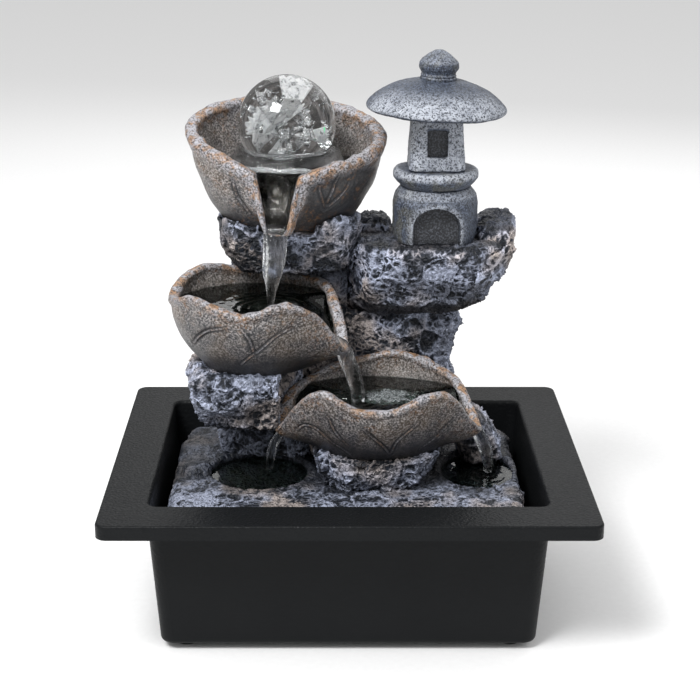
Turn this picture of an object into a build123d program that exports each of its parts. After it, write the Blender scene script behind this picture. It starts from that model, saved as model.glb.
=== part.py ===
from build123d import *
import os
from math import cos, exp, radians, sin

# A tabletop water fountain: a moulded basin holding a cast rock landscape with three leaf bowls,
# a stone lantern, a lit glass ball in a clear seat, and a small submersible pump underneath.
# Frame: millimetres, +Z up, +X to the viewer's right, origin on the table under the basin's centre.

# Driving dimensions: basin
RIM_W, RIM_D, RIM_Z = 210.0, 170.0, 70.0
RIM_SKIRT, RIM_PLATE, RIM_CORNER = 6.3, 2.4, 5.0
WALL, FLOOR_T, FOOT_H = 2.0, 2.5, 3.0
MOUTH_W, MOUTH_D = 169.0, 127.0
BASE_W, BASE_D = 164.0, 123.0
BODY_CORNER = 6.0
FLOOR_Z = FOOT_H + FLOOR_T
RIB_T, RIB_PITCH = 1.4, 40.0
FOOT_R, FOOT_X, FOOT_Y = 6.0, 71.0, 50.0
GROMMET_X, GROMMET_Z, GROMMET_R, CORD_R = 62.0, 59.0, 4.0, 2.4
BASE_EDGE_R, RIM_EDGE_R, MOUTH_EDGE_R, FOOT_EDGE_R = 2.5, 1.0, 1.8, 0.8
RIB_INSET, GROMMET_LIP = 1.0, 2.0
PAST = 1.0              # how far a cut runs past the face it opens

# Driving dimensions: levels of the cast landscape
PLATE_Z0, PLATE_Z1 = 52.0, 62.0
BOULDER_Z0, MIDDLE_FOOT_Z = 86.0, 112.0
LOWER_FOOT_Z, TOP_FOOT_Z = 77.0, 170.0
SHELF_Z, LEDGE_Z = 126.0, 163.0
TOP_ROCK_Z0, TOP_ROCK_Z1 = 150.5, 180.0
CAST_GAP = 0.4          # joint line between a leaf bowl and the rock round it
LEG_X, LEG_Y, LEG_SIZE = 70.0, 50.0, 9.0
RING_TURN, RING_PULL = 9.0, 0.14    # how uneven the rocks' rings are: degrees, and share

# Leaf bowls: plan centre, half widths, foot and floor heights, mean rim height, lean of the rim
# as (x, y), and the rim's waves as (bearing in degrees, height, half width in degrees).
LEAF_EDGE, LEAF_CREST = 3.4, 1.5
LEAF_STEPS = 48
FOOT_SHARE = 0.62
LEAVES = {
    "leaf_bowl_lower": dict(
        centre=(13.5, -8.0), half=(45.0, 36.0), foot=LOWER_FOOT_Z, floor=81.0, rim=104.0,
        lean=(0.0, 0.0),
        waves=[(356, -18, 28), (184, -18, 24), (303, 8, 20), (236, 8, 16), (145, -4, 20),
               (78, 5, 22)]),
    "leaf_bowl_middle": dict(
        centre=(-40.5, 2.0), half=(39.0, 33.0), foot=MIDDLE_FOOT_Z, floor=116.0, rim=145.0,
        lean=(0.0, 0.0),
        waves=[(350, -24, 27), (290, 3, 16), (262, -2, 12), (226, 4, 18), (130, 5.5, 28),
               (180, -2, 14)]),
    "leaf_bowl_top": dict(
        centre=(-27.5, 28.0), half=(43.5, 32.0), foot=TOP_FOOT_Z, floor=188.0, rim=212.0,
        lean=(-2.0, 9.5), waves=[(265, -29, 13)]),
}

# Pools cast into the base plate: centre and half widths
POOLS = [((-40.0, -7.0), (22.0, 21.0)), ((59.0, -5.0), (16.5, 20.5))]
POOL_DEPTH = 6.5

# Glass ball, its clear seat and the lamp ring below it
BALL_X, BALL_Y, BALL_Z, BALL_R = -27.3, 28.0, 214.8, 22.0
SEAT_GAP = 0.3
SEAT_RIM_Z, SEAT_RIM_R, SEAT_FOOT_R, SEAT_WELL_R = 203.5, 20.5, 14.0, 11.0
SEAT_FOOT_Z = 188.2
LAMP_Z0, LAMP_Z1, LAMP_R, LAMP_BORE = 179.5, 187.5, 13.0, 5.9
LAMP_WALL, LENS_T = 1.2, 1.6
BOARD_GAP, BOARD_RISE, BOARD_T = 0.2, 1.0, 1.2
CHIPS, CHIP_W, CHIP_H = 4, 2.4, 1.2
LAMP_FIT = 0.3

# Pump: its nozzle stands on the hose's axis, and the intake faces +X
PUMP_X, PUMP_Y = -27.3, 43.0
CUP_H = 3.5
PUMP_Z0 = FLOOR_Z + CUP_H
PUMP_H, PUMP_D, PUMP_CORNER = 36.0, 30.0, 3.0
PUMP_REAR, PUMP_FRONT, COVER_LEN = -34.0, 10.0, 12.0
SPINDLE_Z = PUMP_Z0 + 22.0
CHAMBER_R, WELL_R, CHAMBER_REAR, WELL_REAR = 11.5, 7.5, -4.0, -25.0
SHAFT_R, SHAFT_CLEARANCE, BUSH_R, BUSH_LEN = 1.25, 0.05, 3.0, 2.5
MAGNET_R, BLADE_R, HUB_R, BLADES = 6.7, 10.4, 4.2, 6
COVER_WALL, EYE_R, SLOTS, SLOT_W = 1.6, 6.0, 5, 2.0
DIAL_R, DIAL_PIN_R = 8.0, 1.5
NOZZLE_R, NOZZLE_BORE, NOZZLE_H = 4.0, 3.0, 6.5
CORE_BAR, CORE_ARM, COIL_R, COIL_SINK = 5.0, 4.0, 2.4, 0.4
POCKET_WALL, POCKET_H, POCKET_GAP, CORE_RISE, BASE_PLATE_T = 3.0, 13.0, 1.0, 2.0, 1.8
MAGNET_END, HUB_REAR, HUB_FRONT = -24.0, -3.2, 7.5
BLADE_LEN, BLADE_T, BLADE_MIDDLE = 8.0, 1.2, 3.0
SHAFT_SEAT, SHAFT_TIP = 0.5, 0.8
COVER_PLATE, COVER_EDGE_R, SPIDER_T, DIAL_WEB = 2.0, 2.0, 1.2, 5.0
SLOT_LEN, SLOT_OFFSET = 7.0, 8.5
DIAL_GAP, DIAL_T, GRIP_H, GRIP_W, WINDOW_IN, WINDOW_OUT = 0.2, 1.6, 2.4, 2.0, 2.4, 6.0
CUP_INSET_X, CUP_INSET_Y, SOCKET_R, GLAND_H = 7.0, 5.0, 3.6, 3.5

# Hose and lamp lead, side by side in a shaft inside the rock
HOSE_R, HOSE_BORE = 5.5, 4.15
LEAD_R, LEAD_OFFSET = 1.25, -10.0
ROUTE_BEND_Z0, ROUTE_BEND_Z1, ROUTE_BEND_R = 157.0, 172.0, 14.0
BORE_GAP = 0.3
SHAFT_X0, SHAFT_X1, SHAFT_HALF_Y = PUMP_X - 14.5, PUMP_X + 7.0, 6.5
PLUG_R, PLUG_NOSE_R, PLUG_NOSE, PLUG_LEN, SOCKET_H = 3.2, 2.0, 3.4, 7.0, 5.0
PLUG_FIT, HOSE_END = 0.15, 0.5

# Stone lantern
LANTERN_X, LANTERN_Y = 39.4, 25.0
PEDESTAL_Z1, PLATFORM_Z1, CHAMBER_Z1, ROOF_Z1 = 188.0, 196.3, 222.0, 236.0
PEDESTAL_R, PLATFORM_R, ROOF_R, FINIAL_Z = 19.2, 19.2, 31.3, 248.2
LANTERN_NECK_R = 15.5
CHAMBER_HALF0, CHAMBER_HALF1, CHAMBER_CHAMFER = 12.6, 10.9, 2.6
ARCH_HALF, ARCH_TOP, ARCH_DEPTH = 10.2, 181.0, 6.0
WINDOW_W, WINDOW_Z0, WINDOW_Z1, WINDOW_DEPTH = 9.0, 202.5, 214.7, 2.0


def rounded_block(w, d, z0, z1, corner):
    """A block with round vertical corners, centred on Z."""
    return Pos(0, 0, z0) * extrude(RectangleRounded(w, d, corner), z1 - z0)


def tapered_block(w0, d0, z0, w1, d1, z1, corner):
    """A block whose sides draft from one rectangle to another."""
    low = Plane.XY.offset(z0) * RectangleRounded(w0, d0, corner)
    high = Plane.XY.offset(z1) * RectangleRounded(w1, d1, corner)
    return loft([low.faces()[0], high.faces()[0]], ruled=True)


def post(r, z0, z1, x=0.0, y=0.0):
    """An upright cylinder between two heights."""
    return Pos(x, y, (z0 + z1) / 2) * Cylinder(r, z1 - z0)


def box(x0, x1, y0, y1, z0, z1):
    """A box between two corners."""
    centre = Pos((x0 + x1) / 2, (y0 + y1) / 2, (z0 + z1) / 2)
    return centre * Box(x1 - x0, y1 - y0, z1 - z0)


def spindle(r, d0, d1, y=PUMP_Y, z=SPINDLE_Z):
    """A cylinder along X between two distances in front of the pump's nozzle."""
    middle = PUMP_X + (d0 + d1) / 2
    return Pos(middle, y, z) * Rot(0, 90, 0) * Cylinder(r, d1 - d0)


def turned(profile, x, y):
    """A solid of revolution about an upright axis, from (radius, height) points."""
    face = Plane.XZ * make_face(Polyline(*profile, close=True))
    return Pos(x, y, 0) * revolve(face, Axis.Z)


# Basin

def body_width(z):
    """Outside width and depth of the basin's wall at a height."""
    share = (z - FOOT_H) / (RIM_Z - FOOT_H)
    wide = BASE_W + share * (MOUTH_W + 2 * WALL - BASE_W)
    deep = BASE_D + share * (MOUTH_D + 2 * WALL - BASE_D)
    return wide, deep


def rim_ribs():
    """Ribs under the rim, between the wall and the skirt."""
    low = RIM_Z - RIM_SKIRT + RIB_INSET
    across = [box(x - RIB_T / 2, x + RIB_T / 2, RIB_INSET - RIM_D / 2,
                  RIM_D / 2 - RIB_INSET, low, RIM_Z - RIB_INSET)
              for x in (-1.5 * RIB_PITCH, -0.5 * RIB_PITCH, 0.5 * RIB_PITCH, 1.5 * RIB_PITCH)]
    along = [box(RIB_INSET - RIM_W / 2, RIM_W / 2 - RIB_INSET, y - RIB_T / 2, y + RIB_T / 2, low,
                 RIM_Z - RIB_INSET)
             for y in (-RIB_PITCH, 0.0, RIB_PITCH)]
    return across + along


def make_basin():
    top_w, top_d = body_width(RIM_Z)
    shell = tapered_block(BASE_W, BASE_D, FOOT_H, top_w, top_d, RIM_Z, BODY_CORNER)
    shell = fillet(shell.edges().group_by(Axis.Z)[0], BASE_EDGE_R)
    skirt = rounded_block(RIM_W, RIM_D, RIM_Z - RIM_SKIRT, RIM_Z, RIM_CORNER)
    skirt = fillet(skirt.edges().group_by(Axis.Z)[-1], RIM_EDGE_R)
    skirt -= rounded_block(RIM_W - 2 * WALL, RIM_D - 2 * WALL, RIM_Z - RIM_SKIRT - PAST,
                           RIM_Z - RIM_PLATE, RIM_CORNER - WALL)
    for rib in rim_ribs():
        skirt += rib
    inside = tapered_block(BASE_W - 2 * WALL, BASE_D - 2 * WALL, FLOOR_Z, MOUTH_W, MOUTH_D,
                           RIM_Z, BODY_CORNER - WALL)
    above = rounded_block(MOUTH_W, MOUTH_D, RIM_Z, RIM_Z + PAST, BODY_CORNER - WALL)
    basin = shell + skirt - inside - above
    mouth = [e for e in basin.edges().group_by(Axis.Z)[-1]
             if abs(e.center().X) < MOUTH_W / 2 + WALL and abs(e.center().Y) < MOUTH_D / 2 + WALL]
    basin = fillet(mouth, MOUTH_EDGE_R)
    return basin - rear_bore(GROMMET_R)


def rear_bore(r):
    """A bore along Y through the basin's rear wall."""
    return Pos(GROMMET_X, MOUTH_D / 2, GROMMET_Z) * Rot(90, 0, 0) * Cylinder(r, 10 * WALL)


def make_grommet(basin):
    """Rubber bush in the rear wall, where the pump's cord leaves."""
    wall_y = body_width(GROMMET_Z)[1] / 2 - WALL / 2
    turn = Pos(GROMMET_X, wall_y, GROMMET_Z) * Rot(90, 0, 0)
    ring = turn * Cylinder(GROMMET_R + GROMMET_LIP, WALL + 3)
    ring -= turn * Cylinder(CORD_R, 10 * WALL)
    return ring - basin


def make_feet():
    spots = [(x, y) for x in (-FOOT_X, FOOT_X) for y in (-FOOT_Y, FOOT_Y)]
    pad = fillet(Cylinder(FOOT_R, FOOT_H).edges().group_by(Axis.Z)[0], FOOT_EDGE_R)
    return [Pos(x, y, FOOT_H / 2) * pad for x, y in spots]


# Rocks: closed solids of flat facets, stacked from rings of points

def ring_points(level, sides, seed, bend):
    """An uneven ring inside the box (z, x0, x1, y0, y1). bend is 1 for an ellipse, 0 for a box."""
    z, x0, x1, y0, y1 = level
    points = []
    for i in range(sides):
        t = radians(360 * i / sides + RING_TURN * sin(2.3 * i + seed))
        pull = 1 - RING_PULL * bend * (1 + sin(1.7 * i * seed + z / 7)) / 2
        c, s = cos(t), sin(t)
        x = abs(c) ** bend * (1 if c > 0 else -1)
        y = abs(s) ** bend * (1 if s > 0 else -1)
        points.append(((x0 + x1) / 2 + x * pull * (x1 - x0) / 2,
                       (y0 + y1) / 2 + y * pull * (y1 - y0) / 2, z))
    return points


def rock(levels, seed, sides=14, bend=0.62):
    """A faceted rock through rings at rising heights."""
    rings = [ring_points(level, sides, seed, bend) for level in levels]
    faces = [Face(Wire.make_polygon(rings[0])), Face(Wire.make_polygon(rings[-1]))]
    for low, high in zip(rings, rings[1:]):
        for i in range(sides):
            j = (i + 1) % sides
            if i % 2:
                corners = [(low[i], low[j], high[i]), (low[j], high[j], high[i])]
            else:
                corners = [(low[i], low[j], high[j]), (low[i], high[j], high[i])]
            faces += [Face(Wire.make_polygon(three)) for three in corners]
    solid = Solid(Shell(faces))
    return solid if solid.volume > 0 else Solid(solid.wrapped.Reversed())


def leaf_clearance(name, rings=((0.80, 2.0), (1.0, 7.0), (1.0, 60.0))):
    """The space round a leaf bowl that the rock leaves free, as (share of plan, rise) rings."""
    leaf = LEAVES[name]
    (cx, cy), (a, b), foot = leaf["centre"], leaf["half"], leaf["foot"]
    wires = [Pos(cx, cy, foot + rise)
             * Wire(Ellipse(share * a + CAST_GAP, share * b + CAST_GAP).edge())
             for share, rise in ((FOOT_SHARE, 0.0), *rings)]
    return Solid.make_loft(wires, ruled=True)


def wiring_shaft():
    """The shaft through the rock for the hose and the lamp's lead."""
    rise = box(SHAFT_X0, SHAFT_X1, PUMP_Y - SHAFT_HALF_Y, PUMP_Y + SHAFT_HALF_Y,
               PLATE_Z0 - PAST, ROUTE_BEND_Z1)
    bend = box(SHAFT_X0, SHAFT_X1, BALL_Y - SHAFT_HALF_Y, PUMP_Y + SHAFT_HALF_Y,
               TOP_ROCK_Z0, TOP_FOOT_Z)
    return rise + bend


def make_rock_base():
    plate = rock([(PLATE_Z0, -80, 80, -60, 58), (PLATE_Z1 - 3, -80, 80, -60, 58),
                  (PLATE_Z1, -77, 77, -57, 55)], seed=1.3, sides=24, bend=0.22)
    for (x, y), (rx, ry) in POOLS:
        bowl = Pos(x, y, PLATE_Z1 - POOL_DEPTH) * extrude(Ellipse(rx, ry), POOL_DEPTH + PAST)
        plate -= bowl
    plate -= wiring_shaft()
    for x in (-LEG_X, LEG_X):
        for y in (-LEG_Y, LEG_Y):
            half = LEG_SIZE / 2
            plate += box(x - half, x + half, y - half, y + half, FLOOR_Z, PLATE_Z0 + PAST)
    return plate


def make_rock_column(front):
    low = rock([(PLATE_Z1, -62, -6, 8, 58), (76, -64, -4, 9, 58), (BOULDER_Z0, -61, -6, 10, 58)],
               seed=2.1)
    rear = rock([(BOULDER_Z0 - 2, -58, 4, 35, 58), (MIDDLE_FOOT_Z, -56, 5, 34.5, 58),
                 (117, -57, 5, 30, 58), (134, -58, 4, 29, 58), (TOP_ROCK_Z0, -54, 5, 29, 57)],
                seed=0.7)
    right = rock([(PLATE_Z1, -14, 50, 29, 58), (84, -12, 54, 29, 58), (104, -10, 51, 30, 58),
                  (118, -8, 55, 28, 58), (SHELF_Z, -6, 51, 30, 57)], seed=3.4)
    column = low + rear + right - wiring_shaft() - front
    return column - leaf_clearance("leaf_bowl_lower") - leaf_clearance("leaf_bowl_middle")


def make_rock_front():
    return rock([(PLATE_Z1, -13, 34, -32, 27), (67, -16, 40, -34, 28),
                 (LOWER_FOOT_Z, -19, 44, -36, 28)], seed=1.9)


def make_rock_left():
    boulder = rock([(BOULDER_Z0, -67, -20, -18, 33), (98, -73, -19, -22, 34),
                    (107, -75, -18, -24, 34), (MIDDLE_FOOT_Z, -70, -18, -22, 33)], seed=2.7)
    return boulder - leaf_clearance("leaf_bowl_lower")


def make_rock_right():
    """The mound between the lower bowl's right end and the right pool."""
    mound = rock([(PLATE_Z1, 52, 72, 2, 26), (71, 50, 71.5, 1, 25), (79, 48, 67, 0, 22),
                  (BOULDER_Z0, 44, 61, 0, 19)], seed=2.2, sides=12)
    return mound - leaf_clearance("leaf_bowl_lower")


def make_rock_top():
    stone = rock([(TOP_ROCK_Z0, -54, 4, 10, 56), (162, -58, 6, 4, 58), (174, -60, 6, 3, 58),
                  (TOP_ROCK_Z1, -55, 3, 6, 57)], seed=4.2)
    lip_room = box(BALL_X - 12, BALL_X + 12, -10, 16, TOP_FOOT_Z - CAST_GAP, TOP_ROCK_Z1 + PAST)
    collar = leaf_clearance("leaf_bowl_top", ((0.86, 10.0), (1.0, 25.0)))
    return stone - collar - lip_room - wiring_shaft()


def make_rock_ledge(column, top):
    slab = rock([(SHELF_Z, 2, 52, 27, 57), (134, 0, 66, 16, 58), (146, 0, 74, 9, 58),
                 (159, 0, 77, 5, 58), (LEDGE_Z, 2, 75, 7, 57)], seed=1.1, sides=18)
    right = rock([(LEDGE_Z - 3, 58, 76, 15, 54), (168, 59, 77, 17, 53), (171.5, 62, 75, 22, 50)],
                 seed=2.9, sides=10)
    left = rock([(LEDGE_Z - 3, 3, 20, 34, 56), (167, 4, 20, 36, 56), (169.5, 7, 18, 40, 53)],
                seed=3.7, sides=10)
    return slab + right + left - column - top


# Leaf bowls

def rim_height(leaf, bearing):
    """Height of the rim's crest at a bearing in degrees."""
    z = leaf["rim"] + leaf["lean"][0] * cos(radians(bearing))
    z += leaf["lean"][1] * sin(radians(bearing))
    for at, height, spread in leaf["waves"]:
        off = (bearing - at + 180) % 360 - 180
        z += height * exp(-(off / spread) ** 2)
    return z


def leaf_ring(leaf, share, inset, height):
    """A closed curve round the leaf, at a share of its plan and a height given by the rim's."""
    (cx, cy), (a, b) = leaf["centre"], leaf["half"]
    points = []
    for i in range(LEAF_STEPS):
        bearing = 360 * i / LEAF_STEPS
        t = radians(bearing)
        points.append((cx + (share * a - inset) * cos(t), cy + (share * b - inset) * sin(t),
                       height(rim_height(leaf, bearing))))
    return Wire([Spline(points, periodic=True).edge()])


def make_leaf(leaf):
    """A bowl with a wavy rim: up the outside, over the crest and down to its floor."""
    foot, floor, drop = leaf["foot"], leaf["floor"], LEAF_CREST
    rings = [leaf_ring(leaf, FOOT_SHARE, 0, lambda rim: foot)]
    for share, part in ((0.80, 0.30), (0.94, 0.65), (1.0, 1.0)):
        rings.append(leaf_ring(leaf, share, 0, lambda rim: foot + (rim - drop - foot) * part))
    rings.append(leaf_ring(leaf, 1.0, LEAF_EDGE / 2, lambda rim: rim))
    for share, part in ((1.0, 1.0), (0.92, 0.60), (0.78, 0.20), (FOOT_SHARE, 0.0)):
        rings.append(leaf_ring(leaf, share, LEAF_EDGE,
                               lambda rim: floor + (rim - drop - floor) * part))
    return Solid.make_loft(rings, ruled=True)


def make_top_leaf():
    """The top leaf, bored for the hose and the lead, with a pocket for the lamp."""
    leaf = make_leaf(LEAVES["leaf_bowl_top"])
    leaf -= post(LAMP_R + LAMP_FIT, LAMP_Z0 - 0.1, SEAT_FOOT_Z + 2, BALL_X, BALL_Y)
    for x, r in ((PUMP_X, HOSE_R), (PUMP_X + LEAD_OFFSET, LEAD_R)):
        leaf -= tube(route(x, TOP_ROCK_Z0, LAMP_Z0 + 1), TOP_ROCK_Z0, x, r + BORE_GAP)
    return leaf


# Ball, seat and lamp

def make_ball():
    return Pos(BALL_X, BALL_Y, BALL_Z) * Sphere(BALL_R)


def make_seat():
    """Clear cup with a spherical mouth just larger than the ball, and a hole for the water."""
    cup = turned([(0, SEAT_FOOT_Z), (SEAT_FOOT_R, SEAT_FOOT_Z), (SEAT_RIM_R, SEAT_RIM_Z),
                  (0, SEAT_RIM_Z)], BALL_X, BALL_Y)
    cup -= Pos(BALL_X, BALL_Y, BALL_Z) * Sphere(BALL_R + SEAT_GAP)
    cup -= post(SEAT_WELL_R, SEAT_FOOT_Z + 2, BALL_Z, BALL_X, BALL_Y)
    return cup - post(LAMP_BORE, SEAT_FOOT_Z - 1, SEAT_FOOT_Z + 3, BALL_X, BALL_Y)


def lamp_ring(outer, inner, z0, z1):
    return post(outer, z0, z1, BALL_X, BALL_Y) - post(inner, z0 - 1, z1 + 1, BALL_X, BALL_Y)


def make_lamp():
    """Lamp housing, circuit ring with four light chips, and the clear lens that seals it."""
    housing = lamp_ring(LAMP_R, LAMP_BORE, LAMP_Z0, LAMP_Z1)
    housing -= lamp_ring(LAMP_R - LAMP_WALL, LAMP_BORE + LAMP_WALL, LAMP_Z0 + LAMP_WALL,
                         LAMP_Z1 + PAST)
    housing -= post(LEAD_R, LAMP_Z0 - PAST, LAMP_Z0 + LAMP_WALL + PAST, BALL_X + LEAD_OFFSET, BALL_Y)
    board_z = LAMP_Z0 + LAMP_WALL + BOARD_RISE
    board = lamp_ring(LAMP_R - LAMP_WALL - BOARD_GAP, LAMP_BORE + LAMP_WALL + BOARD_GAP,
                      board_z, board_z + BOARD_T)
    chip_r = (LAMP_R + LAMP_BORE) / 2
    for i in range(CHIPS):
        t = radians(360 * (i + 0.5) / CHIPS)
        board += Pos(BALL_X + chip_r * cos(t), BALL_Y + chip_r * sin(t),
                     board_z + BOARD_T + CHIP_H / 2 - 0.1) * Box(CHIP_W, CHIP_W, CHIP_H)
    lens = lamp_ring(LAMP_R - LAMP_WALL, LAMP_BORE + LAMP_WALL, LAMP_Z1 - LENS_T, LAMP_Z1)
    return housing, board, lens


# Pump

def make_pump_housing():
    middle = PUMP_X + (PUMP_REAR + PUMP_FRONT) / 2
    length = PUMP_FRONT - PUMP_REAR
    block = Pos(middle, PUMP_Y, PUMP_Z0) * extrude(
        RectangleRounded(length, PUMP_D, PUMP_CORNER), PUMP_H)
    block = fillet(block.edges().group_by(Axis.Z)[-1], COVER_EDGE_R)
    block -= spindle(CHAMBER_R, CHAMBER_REAR, PUMP_FRONT + PAST)
    block -= spindle(WELL_R, WELL_REAR, CHAMBER_REAR + PAST)
    block -= spindle(BUSH_R, WELL_REAR - BUSH_LEN, WELL_REAR + PAST)
    top = PUMP_Z0 + PUMP_H
    block += post(NOZZLE_R, top - PAST, top + NOZZLE_H, PUMP_X, PUMP_Y)
    block -= post(NOZZLE_BORE, SPINDLE_Z, top + NOZZLE_H + PAST, PUMP_X, PUMP_Y)
    return block - stator_pocket(0.0, PUMP_Z0 - PAST)


def stator_pocket(inset, z0):
    """The space for the coil below the rotor, open at the bottom of the housing."""
    half = PUMP_D / 2 - POCKET_WALL - inset
    x0 = PUMP_X + PUMP_REAR + POCKET_WALL + POCKET_GAP + inset
    x1 = PUMP_X + CHAMBER_REAR - POCKET_GAP - inset
    return box(x0, x1, PUMP_Y - half, PUMP_Y + half, z0, PUMP_Z0 + POCKET_H - inset)


def make_stator():
    """Iron core with its winding."""
    z0 = PUMP_Z0 + CORE_RISE
    core = stator_pocket(POCKET_GAP, z0)
    size = core.bounding_box()
    gap_z = z0 + CORE_BAR
    core -= box(size.min.X + CORE_ARM, size.max.X - CORE_ARM, size.min.Y - PAST,
                size.max.Y + PAST, gap_z, gap_z + PUMP_H)
    coil = Pos((size.min.X + size.max.X) / 2, PUMP_Y, gap_z + COIL_R - COIL_SINK) * Rot(0, 90, 0)
    return core + coil * Cylinder(COIL_R, size.size.X - 2 * (CORE_ARM - COIL_SINK))


def make_base_plate():
    slab = box(-RIM_W, RIM_W, -RIM_D, RIM_D, PUMP_Z0, PUMP_Z0 + BASE_PLATE_T)
    return stator_pocket(0.1, PUMP_Z0) & slab


def make_impeller():
    hub = spindle(HUB_R, HUB_REAR, HUB_FRONT)
    for i in range(BLADES):
        blade = Pos(PUMP_X + BLADE_MIDDLE, PUMP_Y, SPINDLE_Z) * Rot(360 * i / BLADES, 0, 0)
        hub += blade * Pos(0, 0, BLADE_R / 2) * Box(BLADE_LEN, BLADE_T, BLADE_R)
    return hub - spindle(SHAFT_R + SHAFT_CLEARANCE, HUB_REAR - PAST, HUB_FRONT + PAST)


def make_magnet():
    bore = spindle(SHAFT_R + SHAFT_CLEARANCE, MAGNET_END - PAST, HUB_REAR + PAST)
    return spindle(MAGNET_R, MAGNET_END, HUB_REAR) - bore


def make_shaft():
    return spindle(SHAFT_R, WELL_REAR - BUSH_LEN + SHAFT_SEAT, PUMP_FRONT + SHAFT_TIP)


def make_rear_bush():
    bush = spindle(BUSH_R, WELL_REAR - BUSH_LEN, WELL_REAR)
    return bush - spindle(SHAFT_R, WELL_REAR - BUSH_LEN + SHAFT_SEAT, WELL_REAR + PAST)


def make_cover():
    """Front cover: intake slots, a strainer space, and the plate that closes the chamber."""
    x0, x1 = PUMP_X + PUMP_FRONT, PUMP_X + PUMP_FRONT + COVER_LEN
    y0, y1, z0, z1 = PUMP_Y - PUMP_D / 2, PUMP_Y + PUMP_D / 2, PUMP_Z0, PUMP_Z0 + PUMP_H
    cover = box(x0, x1, y0, y1, z0, z1)
    cover = fillet(cover.edges().group_by(Axis.X)[-1], COVER_EDGE_R)
    w = COVER_WALL
    cover -= box(x0 + COVER_PLATE, x1 - w, y0 + w, y1 - w, z0 + w, z1 - w)
    eye = spindle(EYE_R, PUMP_FRONT - PAST, PUMP_FRONT + COVER_PLATE + PAST)
    spider = spindle(SHAFT_R + w, PUMP_FRONT, PUMP_FRONT + COVER_PLATE)
    spider += box(x0, x0 + COVER_PLATE, PUMP_Y - EYE_R, PUMP_Y + EYE_R, SPINDLE_Z - SPIDER_T / 2,
                  SPINDLE_Z + SPIDER_T / 2)
    cover = cover - eye + spider
    cover -= spindle(SHAFT_R + SHAFT_CLEARANCE, PUMP_FRONT - PAST, PUMP_FRONT + COVER_PLATE / 2)
    cover -= spindle(DIAL_PIN_R + SHAFT_CLEARANCE, PUMP_FRONT + DIAL_WEB, PUMP_FRONT + COVER_LEN + PAST)
    for side in (-1, 1):
        for i in range(SLOTS):
            y = PUMP_Y + (i - (SLOTS - 1) / 2) * 2.2 * SLOT_W
            z = SPINDLE_Z + side * SLOT_OFFSET
            cover -= box(x1 - w - PAST, x1 + PAST, y - SLOT_W / 2, y + SLOT_W / 2,
                         z - SLOT_LEN / 2, z + SLOT_LEN / 2)
    return cover


def make_dial():
    """Flow dial: a disc with two windows that shuts the intake slots as it turns."""
    face = PUMP_FRONT + COVER_LEN
    back, front = face + DIAL_GAP, face + DIAL_GAP + DIAL_T
    dial = spindle(DIAL_R, back, front)
    x0, x1 = PUMP_X + back - PAST, PUMP_X + front + PAST
    for y0, y1 in ((-WINDOW_OUT, -WINDOW_IN), (WINDOW_IN, WINDOW_OUT)):
        dial -= box(x0, x1, PUMP_Y + y0, PUMP_Y + y1, SPINDLE_Z - DIAL_R / 3, SPINDLE_Z + DIAL_R / 3)
    dial += box(PUMP_X + front, PUMP_X + front + GRIP_H, PUMP_Y - GRIP_W / 2, PUMP_Y + GRIP_W / 2,
                SPINDLE_Z - DIAL_R + PAST, SPINDLE_Z + DIAL_R - PAST)
    return dial + spindle(DIAL_PIN_R, face - COVER_WALL - PAST, back + DIAL_T / 2)


def make_suction_cups():
    cups = []
    for dx in (PUMP_REAR + CUP_INSET_X, PUMP_FRONT - CUP_INSET_X):
        for dy in (CUP_INSET_Y - PUMP_D / 2, PUMP_D / 2 - CUP_INSET_Y):
            x, y = PUMP_X + dx, PUMP_Y + dy
            profile = [(0, FLOOR_Z + 1.2), (2.6, FLOOR_Z + 0.6), (4.4, FLOOR_Z),
                       (4.6, FLOOR_Z + 0.5), (2.0, FLOOR_Z + 2.2), (2.0, PUMP_Z0), (0, PUMP_Z0)]
            cups.append(turned(profile, x, y))
    return cups


def make_cord_gland():
    top = PUMP_Z0 + PUMP_H
    x, y = PUMP_X + PUMP_REAR + CUP_INSET_X, PUMP_Y
    gland = post(SOCKET_R, top, top + GLAND_H, x, y)
    return gland - post(CORD_R, top + LAMP_WALL, top + GLAND_H + PAST, x, y)


def make_socket():
    top = PUMP_Z0 + PUMP_H
    x = PUMP_X + LEAD_OFFSET
    hole_z = top + SOCKET_H - PLUG_NOSE - 2 * PLUG_FIT
    hole = post(PLUG_NOSE_R + PLUG_FIT, hole_z, top + SOCKET_H + PAST, x, PUMP_Y)
    return post(SOCKET_R, top, top + SOCKET_H, x, PUMP_Y) - hole


# Hose, lamp lead and its plug

def route(x, z0, z1):
    """Straight up behind the middle bowl, forward under the top bowl, and up again."""
    points = [(x, PUMP_Y, z0), (x, PUMP_Y, ROUTE_BEND_Z0), (x, BALL_Y, ROUTE_BEND_Z1),
              (x, BALL_Y, z1)]
    return FilletPolyline(*points, radius=ROUTE_BEND_R)


def tube(path, z0, x, r):
    return sweep(Plane((x, PUMP_Y, z0)) * Circle(r), path=path)


def make_hose():
    z0 = PUMP_Z0 + PUMP_H + HOSE_END
    path = route(PUMP_X, z0, LAMP_Z1 - HOSE_END)
    return tube(path, z0, PUMP_X, HOSE_R) - tube(path, z0, PUMP_X, HOSE_BORE)


def make_lead():
    z0 = PUMP_Z0 + PUMP_H + SOCKET_H + PLUG_LEN
    x = PUMP_X + LEAD_OFFSET
    return tube(route(x, z0, LAMP_Z0 + LAMP_WALL), z0, x, LEAD_R)


def make_plug():
    z0 = PUMP_Z0 + PUMP_H + SOCKET_H
    x = PUMP_X + LEAD_OFFSET
    nose = post(PLUG_NOSE_R, z0 - PLUG_NOSE, z0 + PAST, x, PUMP_Y)
    return post(PLUG_R, z0 + PLUG_FIT, z0 + PLUG_LEN, x, PUMP_Y) + nose


# Stone lantern

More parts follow.
